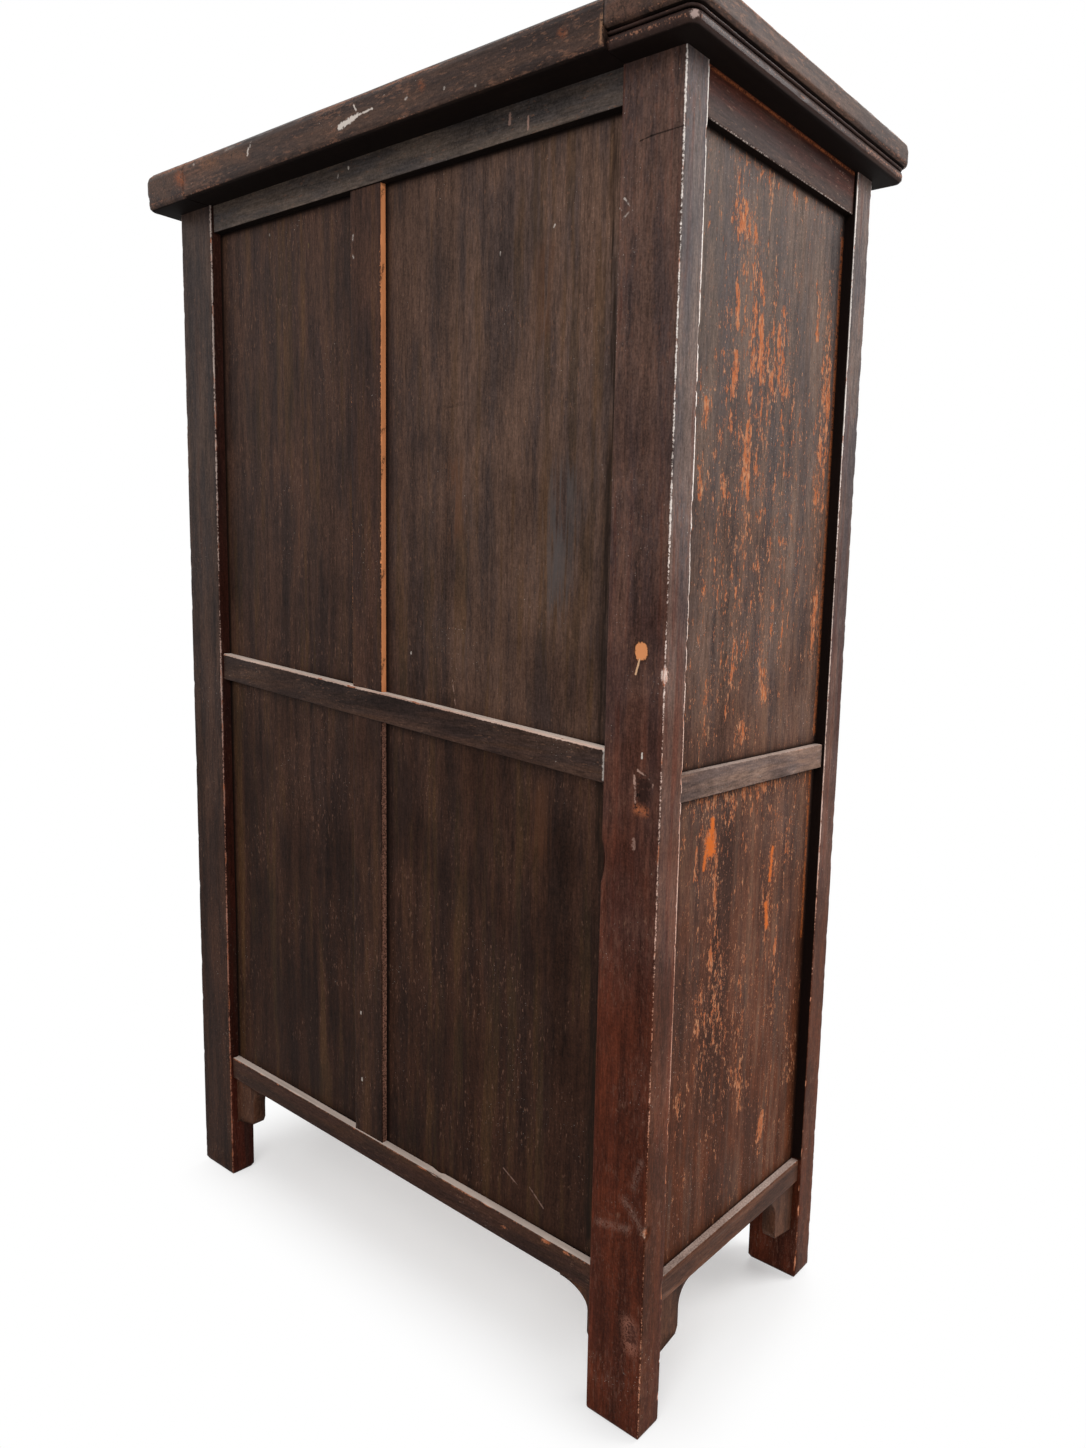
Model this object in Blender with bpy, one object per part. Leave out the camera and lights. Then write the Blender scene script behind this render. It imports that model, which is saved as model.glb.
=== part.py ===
"""Wedding cabinet: four posts, frame-and-panel walls, pivot doors, a lift-out centre stile, a moulded top.

Metres, +Z up. The front faces -Y, and the origin is on the floor under the middle of the cabinet.
"""
import math

import bmesh
import bpy
from mathutils import Vector

for old_object in list(bpy.data.objects):
    bpy.data.objects.remove(old_object, do_unlink=True)

# Driving dimensions of the frame
BODY_WIDTH = 1.075
BODY_DEPTH = 0.473
POST_HEIGHT = 1.750
POST_WIDTH = 0.093
POST_DEPTH = 0.046
POST_EDGE_RADIUS = 0.004
FOOT_ROUNDING = 0.006
GAP = 0.0003

# Rails, panels and their joints
RAIL_SETBACK = 0.005
RAIL_THICKNESS = 0.030
MUNTIN_SETBACK = 0.008
MUNTIN_THICKNESS = 0.025
PANEL_SETBACK = 0.017
PANEL_THICKNESS = 0.009
GROOVE_DEPTH = 0.008
GROOVE_PLAY = 0.0004
PANEL_END_PLAY = 0.001
TENON_LENGTH = 0.022
TENON_THICKNESS = 0.009
TENON_SHOULDER = 0.010
TENON_OVERLAP = 0.006
MORTISE_PLAY = 0.0004

# Rail heights: lower and upper edge
BACK_TOP = (1.708, POST_HEIGHT - GAP)
BACK_BOTTOM = (0.1875, 0.2275)
BACK_BOTTOM_RISE = 0.021 / (BODY_WIDTH - 2 * POST_WIDTH)
BACK_MID_HEIGHT = 0.046
BACK_MID_TOP = 0.969
BACK_MID_RISE = 0.060 / (BODY_WIDTH - 2 * POST_WIDTH)
SIDE_TOP = (1.6915, POST_HEIGHT - GAP)
SIDE_MID = (0.874, 0.911)
SIDE_BOTTOM = (0.177, 0.2145)
FRONT_TOP = (1.690, POST_HEIGHT - GAP)
FRONT_BOTTOM = (0.170, 0.2145)
FRONT_TOP_THICKNESS = 0.040
FRONT_BOTTOM_THICKNESS = 0.050
MUNTIN_X = 0.0445
MUNTIN_WIDTH = 0.071

# Floor, shelf and brackets
BOARD_THICKNESS = 0.018
BOARD_PLAY = 0.0005
BEARER_THICKNESS = 0.016
BEARER_HEIGHT = 0.040
# Reach along the rail and width of the blade; the slim one is at the back on the left
BRACKET_SIZE = (0.085, 0.057)
SLIM_BRACKET_SIZE = (0.065, 0.012)
BRACKET_DROP = 0.089
BRACKET_LIP = 0.008
BRACKET_CURVE = 0.030
BRACKET_CHAMFER = 0.010
BRACKET_THICKNESS = 0.024
BRACKET_SETBACK = 0.012

# Top: overhanging frame with a sunk panel
TOP_OVERHANG = 0.043
TOP_THICKNESS = 0.058
TOP_MEMBER_WIDTH = 0.131
TOP_CORNER_RADIUS = 0.022
TOP_PANEL_THICKNESS = 0.014
TOP_PANEL_SINK = 0.012
TOP_TENON_LENGTH = 0.025
TOP_TENON_WIDTH = 0.060
TOP_TENON_LEVELS = (0.007, 0.025)
STUB_SIZE = 0.028
STUB_SETBACK = 0.009
STUB_HEIGHT = 0.018
# Moulded edge, from the underside up: setback from the nose, height above the underside
MOULDING = [
    (0.0160, 0.0000), (0.0120, 0.0008), (0.0090, 0.0035), (0.0080, 0.0075), (0.0090, 0.0115),
    (0.0120, 0.0138), (0.0170, 0.0152), (0.0070, 0.0172), (0.0020, 0.0195), (0.0000, 0.0240),
    (0.0000, 0.0430), (0.0020, 0.0505), (0.0065, 0.0555), (0.0130, TOP_THICKNESS),
]
PLAIN_EDGE = [
    (0.0060, 0.0000), (0.0015, 0.0030), (0.0000, 0.0090), (0.0000, 0.0450), (0.0025, 0.0525),
    (0.0080, TOP_THICKNESS),
]

# Doors and the centre stile
DOOR_THICKNESS = 0.026
DOOR_SETBACK = 0.003
DOOR_SIDE_GAP = 0.003
DOOR_END_GAP = 0.0025
DOOR_STOP_GAP = 0.0007
DOOR_STILE_WIDTH = 0.060
DOOR_TOP_RAIL_HEIGHT = 0.065
DOOR_BOTTOM_RAIL_HEIGHT = 0.075
DOOR_PANEL_SETBACK = 0.006
PIVOT_RADIUS = 0.007
PIVOT_LENGTH = 0.016
SOCKET_RADIUS = 0.0075
SOCKET_TOP_DEPTH = 0.020
ROUND_STEPS = 24
CENTRE_WIDTH = 0.046
CENTRE_GAP = 0.0015
CENTRE_LIFT = 0.008
CENTRE_TONGUE = (0.028, 0.014)
CENTRE_FOOT_TONGUE = 0.007
CENTRE_HEAD_TONGUE = 0.019

# Brass
LOCK_HEIGHT = 0.980
PLATE_RADIUS = 0.080
PLATE_THICKNESS = 0.002
PLATE_INSET = 0.001
PLATE_ARC_STEPS = 20
LOOP_RADIUS = 0.009
LOOP_HOLE_RADIUS = 0.0048
LOOP_THICKNESS = 0.004
LOOP_STEPS = 8
STAPLE_X = 0.055
STAPLE_DROP = 0.015
STAPLE_HALF_WIDTH = 0.008
STAPLE_WIRE_RADIUS = 0.0016
STAPLE_HOLE_HALF = 0.0024
STAPLE_REACH = 0.008
STAPLE_DEPTH = 0.014
PULL_LENGTH = 0.062
PULL_THICKNESS = 0.003
PULL_NECK = 0.0042
PULL_BELLY = 0.0095
PULL_TIP = 0.0008
PULL_STEPS = 10
EYE_RADIUS = 0.005
EYE_HOLE_RADIUS = 0.0027
EYE_WIDTH = 0.007
EYE_STEPS = 12

# Places that follow from the driving dimensions
X_OUT = BODY_WIDTH / 2
Y_OUT = BODY_DEPTH / 2
X_IN = X_OUT - POST_WIDTH
Y_IN = Y_OUT - POST_DEPTH
RAIL_INNER = RAIL_SETBACK + RAIL_THICKNESS
PANEL_X = X_OUT - PANEL_SETBACK - PANEL_THICKNESS / 2
PANEL_Y = Y_OUT - PANEL_SETBACK - PANEL_THICKNESS / 2
PANEL_HALF = PANEL_THICKNESS / 2
GROOVE_HALF = PANEL_HALF + GROOVE_PLAY
PANEL_REACH = GROOVE_DEPTH - PANEL_END_PLAY
TOP_X = X_OUT + TOP_OVERHANG
TOP_Y = Y_OUT + TOP_OVERHANG
TOP_X_IN = TOP_X - TOP_MEMBER_WIDTH
TOP_Y_IN = TOP_Y - TOP_MEMBER_WIDTH
TOP_PANEL_HIGH = POST_HEIGHT + TOP_THICKNESS - TOP_PANEL_SINK
TOP_PANEL_LOW = TOP_PANEL_HIGH - TOP_PANEL_THICKNESS
DOOR_FRONT = -Y_OUT + DOOR_SETBACK
DOOR_BACK = DOOR_FRONT + DOOR_THICKNESS
DOOR_PANEL_Y = DOOR_FRONT + DOOR_PANEL_SETBACK + PANEL_HALF
PIVOT_X = X_IN - DOOR_SIDE_GAP - DOOR_THICKNESS / 2
PIVOT_Y = DOOR_FRONT + DOOR_THICKNESS / 2
HINGE_INNER = X_IN - DOOR_SIDE_GAP - DOOR_STILE_WIDTH
LOCK_INNER = CENTRE_WIDTH / 2 + CENTRE_GAP
LOCK_OUTER = LOCK_INNER + DOOR_STILE_WIDTH
DOOR_LOW = FRONT_BOTTOM[1] + DOOR_END_GAP
DOOR_HIGH = FRONT_TOP[0] - DOOR_END_GAP
BOARD_FRONT = DOOR_BACK + DOOR_STOP_GAP
BOARD_BACK = Y_OUT - RAIL_INNER - BOARD_PLAY
PLATE_BACK = DOOR_FRONT - GAP
PLATE_FRONT = PLATE_BACK - PLATE_THICKNESS
PULL_Y = PLATE_FRONT - STAPLE_REACH
PULL_Z = LOCK_HEIGHT - STAPLE_DROP

SIDES = {"left": -1, "right": 1}
ENDS = {"front": -1, "back": 1}


def surface(name, colour, roughness, metallic=0.0):
    material = bpy.data.materials.new(name)
    material.use_nodes = True
    shader = material.node_tree.nodes["Principled BSDF"]
    shader.inputs["Base Color"].default_value = (*colour, 1.0)
    shader.inputs["Roughness"].default_value = roughness
    shader.inputs["Metallic"].default_value = metallic
    return material


DARK_LACQUER = surface("dark_lacquer", (0.030, 0.019, 0.014), 0.45)
RED_LACQUER = surface("red_lacquer", (0.060, 0.024, 0.017), 0.40)
WORN_LACQUER = surface("worn_lacquer", (0.075, 0.046, 0.030), 0.50)
BARE_WOOD = surface("bare_wood", (0.26, 0.15, 0.08), 0.70)
BRASS = surface("brass", (0.60, 0.42, 0.16), 0.35, 1.0)


# Small helpers for outlines and boxes
def around(middle, half):
    return middle - half, middle + half


def box(xs, ys, zs, side=1):
    """Box from three ranges in any order, as two corners; side -1 mirrors it to the left half."""
    xs = [side * x for x in xs]
    return tuple(zip(*(sorted(limits) for limits in (xs, ys, zs))))


def grown(shape, by):
    low, high = shape
    return tuple(v - by for v in low), tuple(v + by for v in high)


def box_rings(shape):
    low, high = shape
    plan = [(low[0], low[1]), (high[0], low[1]), (high[0], high[1]), (low[0], high[1])]
    return [[(x, y, z) for x, y in plan] for z in (low[2], high[2])]


def arc(centre, radius, start, end, steps):
    points = []
    for step in range(steps + 1):
        angle = math.radians(start + (end - start) * step / steps)
        points.append((centre[0] + radius * math.cos(angle), centre[1] + radius * math.sin(angle)))
    return points


def circle(centre, radius, steps=ROUND_STEPS):
    return arc(centre, radius, 0, 360, steps)[:-1]


def rounded_rectangle(xs, ys, radius, steps=3):
    (left, right), (near, far) = sorted(xs), sorted(ys)
    centres = [(right - radius, far - radius), (left + radius, far - radius),
               (left + radius, near + radius), (right - radius, near + radius)]
    points = []
    for quarter, centre in enumerate(centres):
        points += arc(centre, radius, 90 * quarter, 90 * quarter + 90, steps)
    return points


def grooved_section(faces, edges, middle, low_groove, high_groove):
    """Outline of a rail across its length, with a panel groove in either edge."""
    inner, outer = faces
    low, high = edges
    half = math.copysign(GROOVE_HALF, outer - inner)
    first, last = middle - half, middle + half
    points = [(inner, low)]
    if low_groove:
        bottom = low + GROOVE_DEPTH
        points += [(first, low), (first, bottom), (last, bottom), (last, low)]
    points += [(outer, low), (outer, high)]
    if high_groove:
        bottom = high - GROOVE_DEPTH
        points += [(last, high), (last, bottom), (first, bottom), (first, high)]
    points.append((inner, high))
    return points


# Making pieces, and joining them with tools that stay hidden
def place_piece(name, data, centre, parent):
    piece = bpy.data.objects.new(name, data)
    bpy.context.collection.objects.link(piece)
    piece.parent = parent
    piece.location = centre - parent.location if parent else centre
    return piece


def loft(name, rings, material=None, parent=None):
    """Closed skin over rings of equally many points, with flat ends."""
    count = len(rings[0])
    points = [Vector(point) for ring in rings for point in ring]
    faces = [list(range(count)), list(range(len(points) - count, len(points)))]
    for ring in range(len(rings) - 1):
        start = ring * count
        for i in range(count):
            j = (i + 1) % count
            faces.append([start + i, start + j, start + count + j, start + count + i])
    low = Vector([min(p[axis] for p in points) for axis in range(3)])
    high = Vector([max(p[axis] for p in points) for axis in range(3)])
    centre = (low + high) / 2
    mesh = bpy.data.meshes.new(name)
    mesh.from_pydata([p - centre for p in points], [], faces)
    shape = bmesh.new()
    shape.from_mesh(mesh)
    bmesh.ops.recalc_face_normals(shape, faces=shape.faces)
    shape.to_mesh(mesh)
    shape.free()
    if material:
        mesh.materials.append(material)
    return place_piece(name, mesh, centre, parent)


def along(axis, point, distance, rise):
    a, b = point
    if axis == "X":
        return distance, a, b + rise * distance
    if axis == "Y":
        return a, distance, b
    return a, b, distance


def prism(name, section, axis, limits, material=None, parent=None, rise=0.0):
    """Section drawn out along an axis; a limit may be a function of the section's point."""
    rings = []
    for limit in limits:
        rings.append([along(axis, p, limit(p) if callable(limit) else limit, rise) for p in section])
    return loft(name, rings, material, parent)


def boxes_tool(name, boxes):
    """One mesh that holds several boxes apart from each other."""
    mesh = bpy.data.meshes.new(name)
    shape = bmesh.new()
    for corners in boxes:
        lower, upper = [[shape.verts.new(p) for p in ring] for ring in box_rings(corners)]
        shape.faces.new(lower[::-1])
        shape.faces.new(upper)
        for i in range(4):
            j = (i + 1) % 4
            shape.faces.new([lower[i], lower[j], upper[j], upper[i]])
    shape.to_mesh(mesh)
    shape.free()
    return place_piece(name, mesh, Vector(), None)


def combine(piece, tool, operation):
    tool.hide_render = True
    tool.display_type = "WIRE"
    modifier = piece.modifiers.new(tool.name, "BOOLEAN")
    modifier.operation = operation
    modifier.object = tool


def add_boxes(piece, boxes):
    combine(piece, boxes_tool(piece.name + "_tenons", boxes), "UNION")


# Boxes that are cut out of each piece once all the pieces are made
cut_boxes = {}


def cut_later(name, shape):
    cut_boxes.setdefault(name, []).append(shape)


def mortise_in(name, tenon):
    cut_later(name, grown(tenon, MORTISE_PLAY))


def cut_all():
    for name, boxes in cut_boxes.items():
        combine(bpy.data.objects[name], boxes_tool(name + "_cuts", boxes), "DIFFERENCE")


def post_name(end_name, side_name):
    return f"post_{end_name}_{side_name}"


def cross_rail(name, section, y, edges, end_name, material, rise=0.0):
    """Rail along X between the two posts of the front or the back, with a tenon at each end."""
    rail = prism(name, section, "X", (-X_IN + GAP, X_IN - GAP), material, rise=rise)
    tenons = []
    for side_name, side in SIDES.items():
        drift = rise * side * X_IN
        levels = (edges[0] + TENON_SHOULDER + drift, edges[1] - TENON_SHOULDER + drift)
        tenon = box((X_IN - TENON_OVERLAP, X_IN + TENON_LENGTH), around(y, TENON_THICKNESS / 2), levels, side)
        tenons.append(tenon)
        mortise_in(post_name(end_name, side_name), tenon)
    add_boxes(rail, tenons)


# Back wall: three rails, two muntins and four panels
def back_mid_top(x):
    return BACK_MID_TOP + BACK_MID_RISE * x


def back_mid_low(x):
    return back_mid_top(x) - BACK_MID_HEIGHT


def back_bottom_top(x):
    return BACK_BOTTOM[1] + BACK_BOTTOM_RISE * x


def make_back_rails():
    faces = (Y_OUT - RAIL_INNER, Y_OUT - RAIL_SETBACK)
    mid = (BACK_MID_TOP - BACK_MID_HEIGHT, BACK_MID_TOP)
    for name, edges, low_groove, high_groove, rise in (
        ("back_top_rail", BACK_TOP, True, False, 0.0),
        ("back_mid_rail", mid, True, True, BACK_MID_RISE),
        ("back_bottom_rail", BACK_BOTTOM, False, True, BACK_BOTTOM_RISE),
    ):
        section = grooved_section(faces, edges, PANEL_Y, low_groove, high_groove)
        cross_rail(name, section, PANEL_Y, edges, "back", DARK_LACQUER, rise)


def make_muntin(name, low_edge, high_edge):
    """Upright between two rails, with a tongue in the groove of each."""
    faces = (Y_OUT - MUNTIN_SETBACK - MUNTIN_THICKNESS, Y_OUT - MUNTIN_SETBACK)
    outline = grooved_section(faces, around(MUNTIN_X, MUNTIN_WIDTH / 2), PANEL_Y, True, True)
    section = [(x, y) for y, x in outline]
    limits = (lambda p: low_edge(p[0]) + GAP, lambda p: high_edge(p[0]) - GAP)
    muntin = prism(name, section, "Z", limits, DARK_LACQUER)
    tongue = GROOVE_DEPTH - 3 * PANEL_END_PLAY
    tongue_xs = around(MUNTIN_X, MUNTIN_WIDTH / 2 - GROOVE_DEPTH - 5 * PANEL_END_PLAY)
    foot, head = low_edge(MUNTIN_X), high_edge(MUNTIN_X)
    levels = ((foot - tongue, foot + TENON_OVERLAP), (head - TENON_OVERLAP, head + tongue))
    add_boxes(muntin, [box(tongue_xs, around(PANEL_Y, PANEL_HALF), zs) for zs in levels])


def make_back_panel(name, side, low_edge, high_edge):
    """Floating panel from the post's groove to the muntin's groove."""
    outer_x = side * (X_IN + PANEL_REACH)
    inner_x = MUNTIN_X + side * (MUNTIN_WIDTH / 2 - PANEL_REACH)
    outline = [(x, low_edge(x) - PANEL_REACH) for x in (inner_x, outer_x)]
    outline += [(x, high_edge(x) + PANEL_REACH) for x in (outer_x, inner_x)]
    prism(name, outline, "Y", around(PANEL_Y, PANEL_HALF), DARK_LACQUER)


def make_back():
    make_back_rails()
    edges = {
        "upper": (back_mid_top, lambda x: BACK_TOP[0]),
        "lower": (back_bottom_top, back_mid_low),
    }
    for level, (low_edge, high_edge) in edges.items():
        make_muntin(f"back_{level}_muntin", low_edge, high_edge)
        for side_name, side in SIDES.items():
            make_back_panel(f"back_{level}_panel_{side_name}", side, low_edge, high_edge)
            post_x = side * X_IN
            groove_zs = (low_edge(post_x) - GROOVE_DEPTH, high_edge(post_x) + GROOVE_DEPTH)
            groove_xs = (X_IN - GAP, X_IN + GROOVE_DEPTH)
            groove = box(groove_xs, around(PANEL_Y, GROOVE_HALF), groove_zs, side)
            cut_later(post_name("back", side_name), groove)


# Side walls: three rails and two panels each
def make_side_rail(side_name, side, level, edges, low_groove, high_groove):
    faces = (side * (X_OUT - RAIL_INNER), side * (X_OUT - RAIL_SETBACK))
    section = grooved_section(faces, edges, side * PANEL_X, low_groove, high_groove)
    rail = prism(f"{side_name}_{level}_rail", section, "Y", (-Y_IN + GAP, Y_IN - GAP), DARK_LACQUER)
    levels = (edges[0] + TENON_SHOULDER, edges[1] - TENON_SHOULDER)
    tenons = []
    for end_name, end in ENDS.items():
        ys = (end * (Y_IN - TENON_OVERLAP), end * (Y_IN + TENON_LENGTH))
        tenon = box(around(PANEL_X, TENON_THICKNESS / 2), ys, levels, side)
        tenons.append(tenon)
        mortise_in(post_name(end_name, side_name), tenon)
    add_boxes(rail, tenons)


def make_side_panel(side_name, side, level, low, high):
    zs = (low - PANEL_REACH, high + PANEL_REACH)
    panel = box(around(PANEL_X, PANEL_HALF), around(0.0, Y_IN + PANEL_REACH), zs, side)
    loft(f"{side_name}_{level}_panel", box_rings(panel), WORN_LACQUER)
    groove_zs = (low - GROOVE_DEPTH, high + GROOVE_DEPTH)
    for end_name, end in ENDS.items():
        ys = (end * (Y_IN - GAP), end * (Y_IN + GROOVE_DEPTH))
        cut_later(post_name(end_name, side_name), box(around(PANEL_X, GROOVE_HALF), ys, groove_zs, side))


def make_side(side_name, side):
    make_side_rail(side_name, side, "top", SIDE_TOP, True, False)
    make_side_rail(side_name, side, "mid", SIDE_MID, True, True)
    make_side_rail(side_name, side, "bottom", SIDE_BOTTOM, False, True)
    make_side_panel(side_name, side, "upper", SIDE_MID[1], SIDE_TOP[0])
    make_side_panel(side_name, side, "lower", SIDE_BOTTOM[1], SIDE_MID[0])


# Posts: each runs from the floor to the top, with arrises and foot a little round
def make_post(end_name, side_name):
    end, side = ENDS[end_name], SIDES[side_name]
    xs = sorted((side * X_IN, side * X_OUT))
    ys = sorted((end * Y_IN, end * Y_OUT))
    rings = []
    for inset, z in ((FOOT_ROUNDING * 0.7, 0.0), (FOOT_ROUNDING * 0.2, FOOT_ROUNDING * 0.4),
                     (0.0, FOOT_ROUNDING), (0.0, POST_HEIGHT - GAP)):
        inner_xs = (xs[0] + inset, xs[1] - inset)
        inner_ys = (ys[0] + inset, ys[1] - inset)
        plan = rounded_rectangle(inner_xs, inner_ys, POST_EDGE_RADIUS)
        rings.append([(x, y, z) for x, y in plan])
    post = loft(post_name(end_name, side_name), rings, RED_LACQUER)
    stub_xs = (X_OUT - STUB_SETBACK - STUB_SIZE, X_OUT - STUB_SETBACK)
    stub_ys = around(end * (Y_IN + Y_OUT) / 2, STUB_SIZE / 2)
    stub = box(stub_xs, stub_ys, (POST_HEIGHT - TENON_OVERLAP, POST_HEIGHT + STUB_HEIGHT), side)
    add_boxes(post, [stub])
    mortise_in(f"top_end_{side_name}", stub)


# Front frame, floor and shelf
def make_front():
    front = -Y_OUT + RAIL_SETBACK
    tenon_y = front + FRONT_TOP_THICKNESS / 2
    for name, edges, thickness in (("front_top_rail", FRONT_TOP, FRONT_TOP_THICKNESS),
                                   ("front_bottom_rail", FRONT_BOTTOM, FRONT_BOTTOM_THICKNESS)):
        back = front + thickness
        section = [(front, edges[0]), (back, edges[0]), (back, edges[1]), (front, edges[1])]
        cross_rail(name, section, tenon_y, edges, "front", DARK_LACQUER)


def make_boards():
    """Floor and shelf, notched round the posts, and the bearer under the shelf's front edge."""
    low, high = SIDE_MID[1] - BEARER_HEIGHT, SIDE_MID[1]
    back = BOARD_FRONT + BEARER_THICKNESS
    section = [(BOARD_FRONT, low), (back, low), (back, high), (BOARD_FRONT, high)]
    middle = BOARD_FRONT + BEARER_THICKNESS / 2
    cross_rail("shelf_front_bearer", section, middle, (low, high), "front", BARE_WOOD)
    side_x = PANEL_X - PANEL_HALF - BOARD_PLAY
    post_x = X_IN - BOARD_PLAY
    post_y = Y_IN - BOARD_PLAY
    right_half = [(post_x, BOARD_FRONT), (post_x, -post_y), (side_x, -post_y),
                  (side_x, post_y), (post_x, post_y), (post_x, BOARD_BACK)]
    outline = right_half + [(-x, y) for x, y in reversed(right_half)]
    for name, level in (("floor_board", SIDE_BOTTOM[1]), ("shelf_board", SIDE_MID[1])):
        prism(name, outline, "Z", (level + GAP, level + GAP + BOARD_THICKNESS), BARE_WOOD)


# Brackets under the bottom rails
def bracket_outline(rail_low, reach, blade, climb=0.0):
    """Spandrel beside a post, as distances from it and heights; its rail may climb away from the post."""
    top = rail_low - GAP
    bend = top + climb * reach - BRACKET_LIP - BRACKET_CURVE
    foot = top - BRACKET_DROP
    points = [(GAP, top + climb * GAP), (reach, top + climb * reach)]
    for across, up in arc((0.0, 0.0), 1.0, 90, 180, 5):
        points.append((reach + across * (reach - blade), bend + up * BRACKET_CURVE))
    points += [(blade, foot + 2 * BRACKET_CHAMFER), (blade - BRACKET_CHAMFER / 2, foot + BRACKET_CHAMFER)]
    points.append((GAP, foot))
    return points


def make_brackets():
    face = BRACKET_SETBACK + BRACKET_THICKNESS
    rails = {"front": (FRONT_BOTTOM[0], 0.0), "back": (BACK_BOTTOM[0], BACK_BOTTOM_RISE)}
    for side_name, side in SIDES.items():
        for end_name, end in ENDS.items():
            rail_low, rise = rails[end_name]
            size = SLIM_BRACKET_SIZE if (end_name, side_name) == ("back", "left") else BRACKET_SIZE
            outline = bracket_outline(rail_low + rise * side * X_IN, *size, -rise * side)
            section = [(side * (X_IN - reach), z) for reach, z in outline]
            limits = (end * (Y_OUT - face), end * (Y_OUT - BRACKET_SETBACK))
            prism(f"{end_name}_bracket_{side_name}", section, "Y", limits, DARK_LACQUER)
            outline = bracket_outline(SIDE_BOTTOM[0], *BRACKET_SIZE)
            section = [(end * (Y_IN - reach), z) for reach, z in outline]
            limits = (side * (X_OUT - face), side * (X_OUT - BRACKET_SETBACK))
            prism(f"{side_name}_bracket_{end_name}", section, "X", limits, DARK_LACQUER)


# Top: moulded end members, moulded front member, plain back member and a sunk panel
def top_end_ring(side, inset, height):
    radius = TOP_CORNER_RADIUS - inset
    corner_x = TOP_X - TOP_CORNER_RADIUS
    corner_y = TOP_Y - TOP_CORNER_RADIUS
    plan = [(TOP_X_IN, -TOP_Y + inset)]
    plan += arc((corner_x, -corner_y), radius, -90, 0, 4)
    plan += arc((corner_x, corner_y), radius, 0, 90, 4)
    plan.append((TOP_X_IN, TOP_Y - inset))
    return [(side * x, y, POST_HEIGHT + height) for x, y in plan]


def make_top_ends():
    groove_xs = (TOP_X_IN - GAP, TOP_X_IN + GROOVE_DEPTH)
    groove_zs = (TOP_PANEL_LOW - GROOVE_PLAY, TOP_PANEL_HIGH + GROOVE_PLAY)
    for side_name, side in SIDES.items():
        name = f"top_end_{side_name}"
        loft(name, [top_end_ring(side, inset, height) for inset, height in MOULDING], RED_LACQUER)
        cut_later(name, box(groove_xs, around(0.0, TOP_Y_IN + GROOVE_DEPTH), groove_zs, side))


def make_top_member(name, end, edge):
    groove_y = TOP_Y_IN + GROOVE_DEPTH
    outline = [(TOP_Y_IN, POST_HEIGHT)]
    outline += [(TOP_Y - inset, POST_HEIGHT + height) for inset, height in edge]
    outline += [(TOP_Y_IN, POST_HEIGHT + TOP_THICKNESS), (TOP_Y_IN, TOP_PANEL_HIGH + GROOVE_PLAY),
                (groove_y, TOP_PANEL_HIGH + GROOVE_PLAY), (groove_y, TOP_PANEL_LOW - GROOVE_PLAY),
                (TOP_Y_IN, TOP_PANEL_LOW - GROOVE_PLAY)]
    section = [(end * y, z) for y, z in outline]
    member = prism(name, section, "X", (-TOP_X_IN + GAP, TOP_X_IN - GAP), RED_LACQUER)
    ys = around(end * (TOP_Y_IN + TOP_MEMBER_WIDTH / 2), TOP_TENON_WIDTH / 2)
    zs = [POST_HEIGHT + level for level in TOP_TENON_LEVELS]
    tenons = []
    for side_name, side in SIDES.items():
        tenon = box((TOP_X_IN - TENON_OVERLAP, TOP_X_IN + TOP_TENON_LENGTH), ys, zs, side)
        tenons.append(tenon)
        mortise_in(f"top_end_{side_name}", tenon)
    add_boxes(member, tenons)


def make_top():
    make_top_ends()
    make_top_member("top_front_member", ENDS["front"], MOULDING)
    make_top_member("top_back_member", ENDS["back"], PLAIN_EDGE)
    panel = box(around(0.0, TOP_X_IN + PANEL_REACH), around(0.0, TOP_Y_IN + PANEL_REACH),
                (TOP_PANEL_LOW, TOP_PANEL_HIGH))
    loft("top_panel", box_rings(panel), DARK_LACQUER)


# Doors: the hinge stile is half round and turns on wooden pins in the front rails
def make_axis(name, place):
    axis = bpy.data.objects.new(name, None)
    axis.location = place
    bpy.context.collection.objects.link(axis)
    return axis


def make_hinge_stile(side_name, side, axis):
    groove_x = HINGE_INNER + GROOVE_DEPTH
    near, far = around(DOOR_PANEL_Y, GROOVE_HALF)
    outline = [(HINGE_INNER, DOOR_FRONT)]
    outline += arc((PIVOT_X, PIVOT_Y), DOOR_THICKNESS / 2, -90, 90, 10)
    outline += [(HINGE_INNER, DOOR_BACK), (HINGE_INNER, far), (groove_x, far), (groove_x, near),
                (HINGE_INNER, near)]
    section = [(side * x, y) for x, y in outline]
    name = f"{side_name}_door_hinge_stile"
    stile = prism(name, section, "Z", (DOOR_LOW, DOOR_HIGH), RED_LACQUER, axis)
    pin_outline = circle((side * PIVOT_X, PIVOT_Y), PIVOT_RADIUS)
    for end_name, limits in (("foot", (DOOR_LOW - PIVOT_LENGTH, DOOR_LOW + TENON_OVERLAP)),
                             ("head", (DOOR_HIGH - TENON_OVERLAP, DOOR_HIGH + PIVOT_LENGTH))):
        combine(stile, prism(f"{name}_{end_name}_pin", pin_outline, "Z", limits), "UNION")


def make_sockets(side):
    outline = circle((side * PIVOT_X, PIVOT_Y), SOCKET_RADIUS)
    for rail_name, limits in (
        ("front_bottom_rail", (DOOR_LOW - PIVOT_LENGTH - GAP, FRONT_BOTTOM[1] + GAP)),
        ("front_top_rail", (FRONT_TOP[0] - GAP, FRONT_TOP[0] + SOCKET_TOP_DEPTH)),
    ):
        combine(bpy.data.objects[rail_name], prism(f"{rail_name}_socket", outline, "Z", limits), "DIFFERENCE")


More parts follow.
